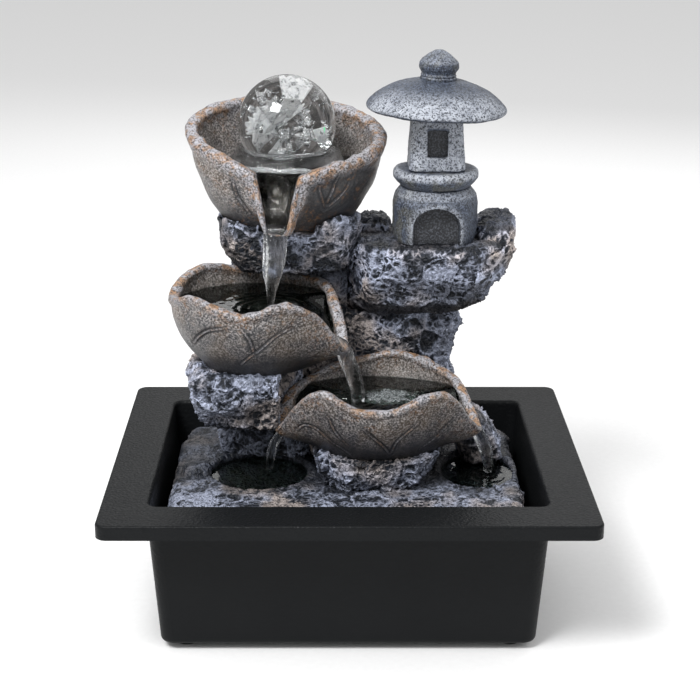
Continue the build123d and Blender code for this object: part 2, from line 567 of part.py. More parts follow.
def make_pedestal():
    r = PEDESTAL_R
    body = turned([(0, LEDGE_Z), (r - 1.2, LEDGE_Z), (r, LEDGE_Z + 6), (r, 181), (r - 0.9, 184.5),
                   (LANTERN_NECK_R, PEDESTAL_Z1), (0, PEDESTAL_Z1)], LANTERN_X, LANTERN_Y)
    arch_low = ARCH_TOP - ARCH_HALF
    front = LANTERN_Y - r
    cut = box(LANTERN_X - ARCH_HALF, LANTERN_X + ARCH_HALF, front - 1, front + ARCH_DEPTH,
              LEDGE_Z - 1, arch_low)
    cut += Pos(LANTERN_X, front - 1 + (ARCH_DEPTH + 1) / 2, arch_low) * Rot(90, 0, 0) * Cylinder(
        ARCH_HALF, ARCH_DEPTH + 1)
    return body - cut


def make_platform():
    r = PLATFORM_R
    return turned([(0, PEDESTAL_Z1), (LANTERN_NECK_R, PEDESTAL_Z1), (r - 1.4, 190.2), (r, 192),
                   (r, 194.6), (r - 1.6, 196), (0, PLATFORM_Z1)], LANTERN_X, LANTERN_Y)


def make_chamber():
    def section(half, z):
        square = Plane.XY.offset(z) * chamfer(Rectangle(2 * half, 2 * half).vertices(),
                                              CHAMBER_CHAMFER)
        return square.faces()[0]
    block = loft([section(CHAMBER_HALF0, PLATFORM_Z1), section(CHAMBER_HALF1, CHAMBER_Z1)],
                 ruled=True)
    block = Pos(LANTERN_X, LANTERN_Y, 0) * block
    for side in (-1, 1):
        y = LANTERN_Y + side * (CHAMBER_HALF0 + CHAMBER_HALF1) / 2
        block -= box(LANTERN_X - WINDOW_W / 2, LANTERN_X + WINDOW_W / 2,
                     min(y, y - side * WINDOW_DEPTH) - (side < 0) * 3,
                     max(y, y - side * WINDOW_DEPTH) + (side > 0) * 3, WINDOW_Z0, WINDOW_Z1)
    return block


def make_roof():
    """Shallow dome with a rounded eave and a dished underside."""
    eave = 222.6
    line = [(0, CHAMBER_Z1), (CHAMBER_HALF1 + 6, CHAMBER_Z1), (ROOF_R - 3.5, 220.9)]
    edge = Polyline((0, ROOF_Z1), *line)
    nose = Spline((ROOF_R - 3.5, 220.9), (ROOF_R, eave + 0.4), (ROOF_R - 2.6, 226.4),
                  (20, 232.2), (8, 235.4), (0, ROOF_Z1))
    return Pos(LANTERN_X, LANTERN_Y, 0) * revolve(Plane.XZ * make_face(edge + nose), Axis.Z)


def make_finial():
    """Collar and jewel on top of the roof."""
    base = ROOF_Z1
    side = Spline((7.6, base), (8.4, base + 2.2), (8.9, base + 4.8), (5.4, base + 8.8),
                  (0.6, FINIAL_Z))
    outline = Polyline((0.6, FINIAL_Z), (0, FINIAL_Z), (0, base - 2.0), (7.9, base - 2.0),
                       (7.9, base - 0.6), (7.6, base))
    jewel = revolve(Plane.XZ * make_face(side + outline), Axis.Z)
    return Pos(LANTERN_X, LANTERN_Y, 0) * jewel


def build():
    """All the nodes, by name."""
    basin = make_basin()
    front = make_rock_front()
    column = make_rock_column(front)
    top = make_rock_top()
    housing, board, lens = make_lamp()
    roof = make_roof()
    leaves = {name: make_leaf(leaf) for name, leaf in LEAVES.items()}
    leaves["leaf_bowl_top"] = make_top_leaf()
    nodes = {
        "basin": basin, "rubber_feet": make_feet(), "cord_grommet": make_grommet(basin),
        "rock_base": make_rock_base(), "rock_column": column, "rock_front": front,
        "rock_left": make_rock_left(), "rock_right": make_rock_right(), "rock_top": top,
        "rock_ledge": make_rock_ledge(column, top),
        "lantern_pedestal": make_pedestal(), "lantern_platform": make_platform(),
        "lantern_chamber": make_chamber(), "lantern_roof": roof,
        "lantern_finial": make_finial() - roof,
        "glass_ball": make_ball(), "ball_seat": make_seat(),
        "lamp_housing": housing, "lamp_board": board, "lamp_lens": lens,
        "lamp_lead": make_lead(), "lamp_plug": make_plug(), "lamp_socket": make_socket(),
        "water_hose": make_hose(),
        "pump_housing": make_pump_housing(), "pump_base_plate": make_base_plate(),
        "pump_stator": make_stator(), "pump_cord_gland": make_cord_gland(),
        "pump_suction_cups": make_suction_cups(), "pump_shaft": make_shaft(),
        "pump_rear_bush": make_rear_bush(), "pump_impeller": make_impeller(),
        "rotor_magnet": make_magnet(), "pump_cover": make_cover(), "flow_dial": make_dial(),
    }
    nodes.update(leaves)
    return nodes


def write(nodes):
    os.makedirs("parts", exist_ok=True)
    for name, shape in nodes.items():
        solids = []
        for piece in shape if isinstance(shape, list) else [shape]:
            solids += piece.solids()
        whole = solids[0] if len(solids) == 1 else Compound(children=solids)
        export_step(whole, f"parts/{name}.step")


write(build())
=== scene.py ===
import itertools
import math

import bmesh
import bpy
import numpy as np
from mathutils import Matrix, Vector
from mathutils.kdtree import KDTree


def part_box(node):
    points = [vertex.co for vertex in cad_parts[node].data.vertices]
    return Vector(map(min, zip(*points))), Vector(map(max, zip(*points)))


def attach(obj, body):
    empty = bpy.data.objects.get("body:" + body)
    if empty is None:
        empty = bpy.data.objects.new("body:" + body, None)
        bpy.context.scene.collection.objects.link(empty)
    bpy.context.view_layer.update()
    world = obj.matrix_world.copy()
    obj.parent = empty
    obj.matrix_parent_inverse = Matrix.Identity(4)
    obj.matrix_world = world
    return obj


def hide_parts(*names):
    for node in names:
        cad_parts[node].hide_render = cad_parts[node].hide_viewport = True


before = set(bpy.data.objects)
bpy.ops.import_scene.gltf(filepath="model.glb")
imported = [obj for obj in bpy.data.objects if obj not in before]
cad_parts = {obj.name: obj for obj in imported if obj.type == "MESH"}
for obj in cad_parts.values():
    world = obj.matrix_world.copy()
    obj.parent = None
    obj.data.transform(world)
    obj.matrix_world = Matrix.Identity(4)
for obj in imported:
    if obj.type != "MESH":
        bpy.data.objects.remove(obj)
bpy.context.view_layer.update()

MM = 0.001
WELD = 0.002             # corners closer than this are one corner


# Noise on arrays of points

def scatter(cell, seed):
    """Three even random numbers in 0..1 for each whole-number cell."""
    i = cell.astype(np.int64)
    h = (i[:, 0] * 73856093) ^ (i[:, 1] * 19349663) ^ (i[:, 2] * 83492791) ^ (seed * 668265263)
    out = []
    for _ in range(3):
        h = ((h ^ (h >> 15)) * 2246822519) & 0xFFFFFFFF
        h = ((h ^ (h >> 13)) * 3266489917) & 0xFFFFFFFF
        out.append((h ^ (h >> 16)) / 4294967296.0)
    return np.stack(out, axis=1)


def wander(p, seed):
    """Smooth noise, about -1 to 1, with features one unit across."""
    cell = np.floor(p)
    f = p - cell
    w = f * f * (3 - 2 * f)
    total = np.zeros(len(p))
    for corner in itertools.product((0, 1), repeat=3):
        c = np.array(corner)
        slope = scatter(cell + c, seed) * 2 - 1
        share = np.prod(np.where(c, w, 1 - w), axis=1)
        total += share * ((f - c) * slope).sum(axis=1)
    return total * 1.5


def cells(p, seed):
    """The nearest two of scattered points: both distances, then the nearest's numbers and offset."""
    base = np.floor(p)
    near = np.full(len(p), 9.0)
    second = near.copy()
    tag = np.zeros((len(p), 3))
    away = np.zeros((len(p), 3))
    for step in itertools.product((-1, 0, 1), repeat=3):
        cell = base + np.array(step)
        random = scatter(cell, seed)
        offset = p - cell - random
        d = np.linalg.norm(offset, axis=1)
        closer = d < near
        second = np.where(closer, near, np.minimum(second, d))
        tag[closer] = random[closer]
        away[closer] = offset[closer]
        near = np.where(closer, d, near)
    return near, second, tag, away


def step_up(x, low, high):
    """0 below low, 1 above high and a smooth rise between."""
    t = np.clip((x - low) / (high - low), 0, 1)
    return t * t * (3 - 2 * t)


def bell(x, width):
    """1 at 0 and a smooth fall to nothing on both sides."""
    return np.exp(-(x / width) ** 2)


# Meshes

def make_piece(name, mesh, body, material, slot, *nodes):
    """A piece that rides on a body, has a material and stands for some CAD nodes."""
    piece = bpy.data.objects.new(name, mesh)
    bpy.context.scene.collection.objects.link(piece)
    mesh.materials.clear()
    mesh.materials.append(MATERIALS[material])
    mesh.polygons.foreach_set("use_smooth", [True] * len(mesh.polygons))
    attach(piece, body)
    if nodes:
        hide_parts(*nodes)
    return piece


def mesh_from(name, points, faces):
    """A mesh from points in millimetres and faces."""
    mesh = bpy.data.meshes.new(name)
    mesh.from_pydata([tuple(p) for p in np.asarray(points) * MM], [], faces)
    mesh.update()
    return mesh


def closed(name, points, faces):
    """A closed mesh from points in millimetres and faces, with every face turned out."""
    mesh = mesh_from(name, points, faces)
    bm = bmesh.new()
    bm.from_mesh(mesh)
    bmesh.ops.recalc_face_normals(bm, faces=bm.faces)
    bm.to_mesh(mesh)
    bm.free()
    return mesh


def put(mesh, name, values):
    """Keeps one number for each vertex, for the material to read."""
    layer = mesh.attributes.new(name, "FLOAT", "POINT")
    layer.data.foreach_set("value", np.asarray(values, np.float32))


def points_of(mesh):
    co = np.zeros(len(mesh.vertices) * 3)
    mesh.vertices.foreach_get("co", co)
    return co.reshape(-1, 3) / MM


def normals_of(mesh):
    n = np.zeros(len(mesh.vertices) * 3)
    mesh.vertex_normals.foreach_get("vector", n)
    return n.reshape(-1, 3)


def set_points(mesh, points):
    mesh.vertices.foreach_set("co", (np.asarray(points) * MM).astype(np.float32).ravel())
    mesh.update()


def box_of(node):
    """A CAD node's lowest and highest corners, in millimetres."""
    return [np.array(corner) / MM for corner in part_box(node)]


def smoothed(mesh, points, rounds, strength=0.5):
    """Points moved towards their neighbours' middle a number of times."""
    edges = np.zeros(len(mesh.edges) * 2, np.int64)
    mesh.edges.foreach_get("vertices", edges)
    a, b = edges.reshape(-1, 2).T
    count = np.bincount(np.concatenate([a, b]), minlength=len(points))[:, None]
    for _ in range(rounds):
        total = np.zeros_like(points)
        for axis in range(3):
            total[:, axis] = np.bincount(a, points[b, axis], len(points))
            total[:, axis] += np.bincount(b, points[a, axis], len(points))
        points = points + strength * (total / count - points)
    return points


def remeshed(node, voxel):
    """A CAD node's shape as a new mesh of small even faces."""
    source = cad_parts[node].data.copy()
    bm = bmesh.new()
    bm.from_mesh(source)
    bmesh.ops.remove_doubles(bm, verts=bm.verts, dist=WELD * MM)
    bm.to_mesh(source)
    bm.free()
    rough = bpy.data.objects.new(node + "_rough", source)
    bpy.context.scene.collection.objects.link(rough)
    modifier = rough.modifiers.new("even", "REMESH")
    modifier.mode = "VOXEL"
    modifier.voxel_size = voxel * MM
    modifier.adaptivity = 0
    evaluated = rough.evaluated_get(bpy.context.evaluated_depsgraph_get())
    mesh = bpy.data.meshes.new_from_object(evaluated)
    bpy.data.objects.remove(rough)
    bpy.data.meshes.remove(source)
    mesh.name = node + "_detail"
    return mesh


# Materials

class Graph:
    """A material's nodes, added one at a time round its Principled shader."""

    def __init__(self, name, **settings):
        self.material = bpy.data.materials.new(name)
        self.material.use_nodes = True
        self.tree = self.material.node_tree
        self.shader = self.tree.nodes["Principled BSDF"]
        self.place = self.node("TexCoord", {}).outputs["Object"]
        for key, value in settings.items():
            self.set(key.replace("_", " "), value)

    def node(self, kind, inputs, **settings):
        made = self.tree.nodes.new("ShaderNode" + kind)
        for key, value in settings.items():
            setattr(made, key, value)
        for key, value in inputs.items():
            self.connect(made.inputs[key], value)
        return made

    def connect(self, socket, value):
        if isinstance(value, bpy.types.NodeSocket):
            self.tree.links.new(value, socket)
        elif hasattr(value, "__len__") and len(value) == 3 and socket.type == "RGBA":
            socket.default_value = (*value, 1)
        else:
            socket.default_value = value

    def set(self, key, value):
        self.connect(self.shader.inputs[key], value)

    def noise(self, size, detail=3.0, rough=0.55, warp=0.0, at=None):
        """Noise with features about size millimetres across."""
        inputs = {"Vector": at or self.place, "Scale": 1 / (size * MM), "Detail": detail,
                  "Roughness": rough, "Distortion": warp}
        return self.node("TexNoise", inputs).outputs["Fac"]

    def pebbles(self, size, feature="F1", at=None):
        inputs = {"Vector": at or self.place, "Scale": 1 / (size * MM)}
        return self.node("TexVoronoi", inputs, feature=feature).outputs["Distance"]

    def warped(self, size, amount):
        """The place, pushed about by a noise of some size, by some millimetres."""
        push = self.node("TexNoise", {"Vector": self.place, "Scale": 1 / (size * MM), "Detail": 2.0})
        inputs = {0: push.outputs["Color"], 1: (2 * amount * MM,) * 3, 2: self.place}
        return self.node("VectorMath", inputs, operation="MULTIPLY_ADD").outputs["Vector"]

    def net(self, size, width, at):
        """Thin lines, 1 on the line, round cells of some size."""
        return self.ramp(self.pebbles(size, "DISTANCE_TO_EDGE", at), (0.0, 1.0), (width, 0.0))

    def stretched(self, scale):
        return self.node("Mapping", {"Vector": self.place, "Scale": scale}).outputs["Vector"]

    def ramp(self, fac, *stops):
        """A colour ramp through (place, colour or grey) stops."""
        made = self.node("ValToRGB", {"Fac": fac})
        ramp = made.color_ramp
        while len(ramp.elements) < len(stops):
            ramp.elements.new(0.5)
        for element, (at, value) in zip(ramp.elements, stops):
            element.position = at
            element.color = (*value, 1) if hasattr(value, "__len__") else (value,) * 3 + (1,)
        return made.outputs["Color"]

    def mix(self, fac, a, b, blend="MIX"):
        made = self.node("Mix", {}, data_type="RGBA", blend_type=blend)
        self.connect(made.inputs[0], fac)
        self.connect(made.inputs[6], a)
        self.connect(made.inputs[7], b)
        return made.outputs[2]

    def math(self, operation, a, b=0.0, clamp=False):
        made = self.node("Math", {0: a, 1: b}, operation=operation)
        made.use_clamp = clamp
        return made.outputs[0]

    def times(self, a, b, clamp=False):
        return self.math("MULTIPLY", a, b, clamp)

    def attribute(self, name):
        return self.node("Attribute", {}, attribute_name=name).outputs["Fac"]

    def bump(self, height, strength, distance, under=None):
        inputs = {"Height": height, "Strength": strength, "Distance": distance * MM}
        if under is not None:
            inputs["Normal"] = under
        return self.node("Bump", inputs).outputs["Normal"]


SLATE_DEEP = (0.007, 0.009, 0.013)
SLATE = (0.021, 0.027, 0.041)
LAVENDER = (0.66, 0.72, 0.92)
TAN = (0.66, 0.56, 0.50)


def rock_material():
    """Dark cast resin, dry-brushed on its crests with a net of fine pale wrinkles, with painted shade
    from the shade attribute.
    """
    g = Graph("rock_dry_brushed")
    crest, shade, paint_share = g.attribute("crest"), g.attribute("shade"), g.attribute("paint")
    net = g.net(2.4, 0.26, g.warped(1.6, 0.6))
    fine, grain = g.noise(1.7, 3, 0.6, 0.5), g.noise(0.6, 3, 0.6)
    gate = g.ramp(g.noise(6.0, 3), (0.44, 0.0), (0.58, 0.9))
    lines = g.times(net, g.times(gate, paint_share), True)
    edge = g.times(g.ramp(crest, (0.26, 0.0), (0.60, 1.0)),
                   g.ramp(fine, (0.40, 0.4), (0.52, 1.0)))
    brushed = g.math("MAXIMUM", lines, g.times(edge, paint_share), True)
    brushed = g.times(brushed, g.ramp(grain, (0.36, 0.6), (0.52, 1.0)))
    base = g.mix(g.ramp(g.noise(6, 4, 0.6), (0.36, 0.0), (0.62, 1.0)), SLATE_DEEP, SLATE)
    soft = g.times(g.ramp(fine, (0.50, 0.0), (0.66, 0.5)), paint_share)
    base = g.mix(soft, base, (0.050, 0.060, 0.088))
    paint = g.mix(g.ramp(g.noise(24, 2), (0.46, 0.0), (0.60, 0.9)), LAVENDER, TAN)
    painted = g.mix(brushed, base, paint)
    # Painted shade: near black where the shade attribute is high.
    g.set("Base Color", g.mix(g.times(shade, 0.94, True), painted, (0.006, 0.007, 0.010)))
    g.set("Roughness", g.ramp(grain, (0.3, 0.34), (0.7, 0.58)))
    g.set("Specular IOR Level", 0.4)
    height = g.math("ADD", g.times(net, 0.8), fine)
    g.set("Normal", g.bump(grain, 0.4, 0.2, g.bump(height, 0.9, 0.75)))
    return g.material


def leaf_material():
    """Bronze-brown cast leaf: speckled grain, ochre near the lip, a pale brushed lip, and painted shade
    low on the outside.
    """
    g = Graph("leaf_bronze_cast")
    lip, near, low = g.attribute("lip"), g.attribute("near"), g.attribute("low")
    vein, wet, inside = g.attribute("vein"), g.attribute("wet"), g.attribute("inside")
    grain, speck = g.noise(0.55, 4, 0.7), g.noise(0.8, 3, 0.6, 0.4)
    patch, broad = g.noise(7, 3), g.noise(15, 2)
    base = g.mix(g.ramp(patch, (0.38, 0.0), (0.62, 1.0)), (0.034, 0.034, 0.038), (0.080, 0.074, 0.071))
    base = g.mix(g.ramp(broad, (0.47, 0.0), (0.62, 0.6)), base, (0.100, 0.072, 0.046))
    base = g.mix(g.times(inside, g.attribute("streak"), True), base, (0.115, 0.104, 0.094))
    # Painted shade towards the bottom of the outside; the top bowl's right side below the lip is painted
    # dark too.
    base = g.mix(g.times(low, 0.92, True), base, (0.010, 0.011, 0.014))
    rust = g.times(g.ramp(g.noise(1.7, 3, 0.6), (0.48, 0.0), (0.62, 0.9)), near)
    rust = g.times(rust, g.ramp(g.noise(6, 2, 0.5, 0.3), (0.46, 0.0), (0.62, 1.0)))
    base = g.mix(rust, base, (0.23, 0.105, 0.032))
    light = g.times(g.ramp(speck, (0.49, 0.0), (0.60, 0.85)),
                   g.ramp(g.times(near, broad), (0.0, 0.55), (0.5, 1.0)))
    # Fewer pale specks where the painted shade is.
    light = g.times(light, g.ramp(low, (0.2, 1.0), (0.7, 0.08)))
    base = g.mix(light, base, (0.42, 0.39, 0.38))
    ochre = g.ramp(g.noise(4.5, 2, 0.5, 0.4), (0.48, 0.0), (0.60, 1.0))
    pale = g.mix(ochre, (0.40, 0.40, 0.44), (0.36, 0.20, 0.10))
    brushed = g.times(lip, g.ramp(speck, (0.40, 0.10), (0.56, 0.95)), True)
    base = g.mix(brushed, base, pale)
    base = g.mix(g.ramp(speck, (0.36, 0.9), (0.43, 0.0)), base, (0.012, 0.012, 0.014))
    base = g.mix(g.times(vein, 0.92, True), base, (0.007, 0.008, 0.012))
    base = g.mix(g.times(wet, 0.93, True), base, (0.006, 0.007, 0.006))
    g.set("Base Color", base)
    dry = g.ramp(grain, (0.3, 0.33), (0.7, 0.55))
    g.set("Roughness", g.mix(wet, dry, (0.10, 0.10, 0.10)))
    g.set("Normal", g.bump(grain, 0.45, 0.2, g.bump(speck, 0.45, 0.35)))
    return g.material


def lantern_material():
    """Blue-grey stone full of small black pits, pale on its edges and olive in places, with painted
    shade in its arch, windows and under its roof.
    """
    g = Graph("lantern_stone")
    crest, fine = g.attribute("crest"), g.noise(0.75, 3, 0.6)
    dots = g.pebbles(0.95, at=g.warped(0.9, 0.35))
    tone = g.noise(9, 3)
    base = g.mix(g.ramp(tone, (0.38, 0.0), (0.62, 1.0)), (0.032, 0.041, 0.062), (0.066, 0.078, 0.102))
    base = g.mix(g.times(g.attribute("olive"), g.ramp(fine, (0.42, 0.15), (0.6, 0.8)), True),
                 base, (0.150, 0.130, 0.055))
    base = g.mix(g.ramp(fine, (0.50, 0.0), (0.64, 0.8)), base, (0.15, 0.18, 0.25))
    brushed = g.times(crest, g.ramp(fine, (0.36, 0.35), (0.52, 1.0)), True)
    base = g.mix(brushed, base, (0.50, 0.53, 0.59))
    base = g.mix(g.ramp(fine, (0.37, 1.0), (0.455, 0.0)), base, (0.012, 0.014, 0.020))
    base = g.mix(g.ramp(dots, (0.12, 0.9), (0.26, 0.0)), base, (0.014, 0.016, 0.024))
    base = g.mix(g.times(g.attribute("pit"), 0.8, True), base, (0.014, 0.016, 0.024))
    # Painted shade: a dark hammered texture in the arch, the windows and under the roof.
    dents = g.ramp(fine, (0.48, 0.0), (0.64, 1.0))
    hammered_in_shade = g.mix(dents, (0.007, 0.008, 0.011), (0.060, 0.065, 0.078))
    base = g.mix(g.attribute("shade"), base, hammered_in_shade)
    g.set("Base Color", base)
    g.set("Roughness", g.ramp(fine, (0.3, 0.48), (0.7, 0.70)))
    g.set("Normal", g.bump(fine, 0.7, 0.4, g.bump(dots, 0.3, 0.35)))
    return g.material


def plastic_material(name, low, high, rough=0.42, grain=0.9, bump=0.35):
    """Moulded plastic with a fine grained skin."""
    g = Graph(name)
    skin, spots = g.pebbles(grain, at=g.warped(1.5 * grain, 0.4 * grain)), g.noise(grain * 0.7, 3)
    g.set("Base Color", g.mix(g.noise(18, 4), low, high))
    g.set("Roughness", g.ramp(spots, (0.3, rough - 0.06), (0.7, rough + 0.10)))
    g.set("Normal", g.bump(g.math("ADD", skin, spots), bump, 0.14 * grain))
    return g.material


def basin_material():
    """Black plastic with leather grain on the rim and fine horizontal drag marks on the body."""
    g = Graph("basin_plastic")
    leather = g.pebbles(1.25, "SMOOTH_F1", g.warped(2.0, 0.8))
    drag = g.noise(1.0, 3, at=g.stretched((0.12, 0.12, 1.0)))
    on_rim = g.attribute("rim")
    g.set("Base Color", g.mix(g.noise(20, 4), (0.0055, 0.0062, 0.0070), (0.0080, 0.0088, 0.0096)))
    g.set("Roughness", g.ramp(g.noise(0.9, 3), (0.3, 0.36), (0.7, 0.52)))
    g.set("Specular IOR Level", 0.12)
    height = g.math("ADD", g.times(leather, on_rim), g.times(drag, 0.25))
    g.set("Normal", g.bump(height, 0.8, 0.30))
    return g.material


def glass_material(name, colour, ior, rough=0.0, ripple=3.0, bump=0.04):
    g = Graph(name)
    g.set("Base Color", (*colour, 1))
    g.set("Transmission Weight", 1.0)
    g.set("IOR", ior)
    g.set("Roughness", g.ramp(g.noise(ripple * 3, 2), (0.3, rough), (0.8, rough + 0.02)))
    g.set("Normal", g.bump(g.noise(ripple, 2), bump, 0.5))
    return g.material


def stream_material():
    """Falling water: clear, with long soft streaks down its length."""
    g = Graph("falling_water")
    streak = g.noise(1.3, 3, 0.6, at=g.stretched((1.0, 1.0, 0.16)))
    g.set("Base Color", g.ramp(streak, (0.35, (0.86, 0.89, 0.91)), (0.65, (0.97, 0.98, 0.99))))
    g.set("Transmission Weight", 1.0)
    g.set("IOR", 1.33)
    g.set("Roughness", g.ramp(streak, (0.4, 0.0), (0.7, 0.04)))
    g.set("Normal", g.bump(streak, 0.6, 1.0))
    return g.material


def film_material():
    """A thin sheet of water running down the chute, with faint streaks."""
    g = Graph("water_film")
    streak = g.noise(1.6, 3, 0.6, at=g.stretched((1.0, 0.3, 0.2)))
    g.set("Base Color", g.ramp(streak, (0.3, (0.26, 0.24, 0.20)), (0.7, (0.36, 0.34, 0.30))))
    g.set("Transmission Weight", 1.0)
    g.set("IOR", 1.33)
    g.set("Roughness", g.ramp(streak, (0.3, 0.05), (0.7, 0.20)))
    g.set("Specular IOR Level", 0.12)
    g.set("Normal", g.bump(streak, 0.8, 1.2))
    return g.material


def foam_material():
    g = Graph("foam")
    film = g.noise(0.9, 3)
    g.set("Base Color", g.ramp(film, (0.38, (0.10, 0.12, 0.12)), (0.62, (0.62, 0.66, 0.68))))
    g.set("Transmission Weight", 0.6)
    g.set("IOR", 1.33)
    g.set("Roughness", g.ramp(film, (0.3, 0.02), (0.7, 0.15)))
    g.set("Normal", g.bump(g.pebbles(0.6), 0.4, 0.3))
    return g.material


def fracture_material(name, low, high, metal, clear):
    """The face of a crack in the glass: bright where it is rough, clear where it is tight."""
    g = Graph(name)
    streak = g.noise(2.0, 4, 0.7, 0.6)
    g.set("Base Color", g.ramp(streak, (0.35, low), (0.65, high)))
    g.set("Metallic", metal)
    g.set("Roughness", g.ramp(g.noise(0.7, 3), (0.3, 0.05), (0.7, 0.30)))
    g.set("Alpha", g.ramp(streak, (clear - 0.06, 0.0), (clear + 0.06, 0.96)))
    g.set("Normal", g.bump(g.noise(0.8, 3), 0.7, 0.6))
    return g.material


def glint_material():
    """Painted glint: the lamp's green colour on one small crack, as a glow of its own."""
    g = Graph("green_glint")
    g.set("Base Color", g.ramp(g.noise(0.6, 2), (0.3, (0.0, 0.30, 0.10)), (0.7, (0.05, 0.75, 0.30))))
    g.set("Emission Color", (0.0, 0.75, 0.25, 1))
    g.set("Emission Strength", 0.9)
    return g.material


MATERIALS = {
    "rock": rock_material(),
    "leaf": leaf_material(),
    "lantern": lantern_material(),
    "basin": basin_material(),
    "rubber": plastic_material("black_rubber", (0.012, 0.012, 0.012), (0.02, 0.02, 0.02), 0.7, 0.5),
    "suction": plastic_material("suction_vinyl", (0.10, 0.10, 0.11), (0.15, 0.15, 0.16), 0.3, 1.2, 0.1),
    "pump": plastic_material("pump_plastic", (0.02, 0.021, 0.023), (0.035, 0.036, 0.038), 0.38, 0.6),
    "dial": plastic_material("dial_plastic", (0.22, 0.23, 0.25), (0.30, 0.31, 0.33), 0.4, 0.6),
    "winding": plastic_material("copper_winding", (0.35, 0.14, 0.06), (0.45, 0.20, 0.09), 0.35, 0.5),
    "ceramic": plastic_material("ceramic", (0.66, 0.64, 0.60), (0.74, 0.72, 0.68), 0.25, 0.4, 0.1),
    "impeller": plastic_material("impeller_plastic", (0.55, 0.56, 0.58), (0.64, 0.65, 0.66), 0.4),
    "magnet": plastic_material("ferrite", (0.035, 0.035, 0.037), (0.055, 0.055, 0.06), 0.55, 0.4),
    "hose": glass_material("hose_vinyl", (0.86, 0.90, 0.88), 1.45, 0.12),
    "lamp_plastic": plastic_material("lamp_plastic", (0.62, 0.63, 0.64), (0.7, 0.71, 0.72), 0.35),
    "board": plastic_material("board_enamel", (0.02, 0.12, 0.05), (0.03, 0.17, 0.07), 0.3, 1.0),
    "clear": glass_material("clear_plastic", (0.93, 0.95, 0.95), 1.47, 0.02),
    "lead": plastic_material("lead_sheath", (0.015, 0.015, 0.016), (0.03, 0.03, 0.03), 0.5, 0.5),
    "ball": glass_material("ball_glass", (0.96, 0.97, 0.97), 1.46, 0.0),
    "water": glass_material("water", (0.32, 0.40, 0.35), 1.33, 0.0, 3.0, 0.10),
    "pool": glass_material("pool_water", (0.34, 0.46, 0.38), 1.33, 0.0, 3.0, 0.12),
    "stream": stream_material(),
    "film": film_material(),
    "foam": foam_material(),
    "veil": fracture_material("glass_veil", (0.66, 0.69, 0.71), (0.98, 0.99, 0.99), 0.0, 0.20),
    "fracture": fracture_material("glass_fracture", (0.85, 0.87, 0.89), (1.0, 1.0, 1.0), 0.15, 0.42),
    "flake": fracture_material("glass_flake", (0.55, 0.58, 0.60), (1.0, 1.0, 1.0), 0.9, 0.38),
    "glint": glint_material(),
}


# Camera, floor and light

AIM = Vector((0, 0, 0.12))
FLOOR_HALF = 6000.0


def make_camera():
    data = bpy.data.cameras.new("camera")
    data.sensor_width = 36.0
    data.lens = 84.55
    data.shift_x = 0.0293
    camera = bpy.data.objects.new("camera", data)
    camera.location = (-0.00824, -0.69971, 0.35240)
    camera.rotation_euler = (math.radians(90 - 18.53), 0, 0)
    bpy.context.scene.collection.objects.link(camera)
    bpy.context.scene.camera = camera


def make_light(name, place, size, power):
    """A soft box that faces the middle of the fountain."""
    data = bpy.data.lights.new(name, "AREA")
    data.shape = "RECTANGLE"
    data.size, data.size_y = size
    data.energy = power
    light = bpy.data.objects.new(name, data)
    light.location = place
    light.rotation_euler = (AIM - Vector(place)).to_track_quat("-Z", "Y").to_euler()
    bpy.context.scene.collection.objects.link(light)


def make_floor():
    """A large pale sheet with a fine paper grain."""
    h = FLOOR_HALF
    corners = [(-h, -h, 0), (h, -h, 0), (h, h, 0), (-h, h, 0)]
    mesh = mesh_from("floor", corners, [(0, 1, 2, 3)])
    g = Graph("pale_floor", Specular_IOR_Level=0.2)
    g.set("Base Color", g.ramp(g.noise(3, 3), (0.3, (0.90, 0.90, 0.90)), (0.7, (0.93, 0.93, 0.93))))
    g.set("Roughness", 0.8)
    mesh.materials.append(g.material)
    floor = bpy.data.objects.new("floor", mesh)
    bpy.context.scene.collection.objects.link(floor)


def make_studio():
    """Light like a soft box overhead, dimmer towards the horizon."""
    world = bpy.data.worlds.new("studio")
    bpy.context.scene.world = world
    world.use_nodes = True
    tree = world.node_tree
    height = tree.nodes.new("ShaderNodeSeparateXYZ")
    tree.links.new(tree.nodes.new("ShaderNodeTexCoord").outputs["Generated"], height.inputs[0])
    dome = tree.nodes.new("ShaderNodeValToRGB")
    for element, (at, value) in zip(dome.color_ramp.elements, ((0.05, 0.32), (0.75, 1.0))):
        element.position, element.color = at, (value, value, value, 1)
    tree.links.new(height.outputs["Z"], dome.inputs[0])
    tree.links.new(dome.outputs["Color"], tree.nodes["Background"].inputs["Color"])
    tree.nodes["Background"].inputs["Strength"].default_value = 0.80
    make_light("key", (-0.45, -0.60, 1.0), (0.40, 0.40), 13.5)
    make_light("fill", (0.75, -0.60, 0.50), (0.4, 0.6), 1.3)
    make_light("rim", (0.25, 0.8, 0.7), (1.2, 0.8), 3.0)
    bpy.context.scene.view_settings.view_transform = "Standard"
    bpy.context.scene.view_settings.look = "None"


make_camera()
make_studio()
make_floor()


# Rocks

CRUMPLE, FINE_CRUMPLE = 3.6, 1.9    # sizes of the skin's folds, in millimetres


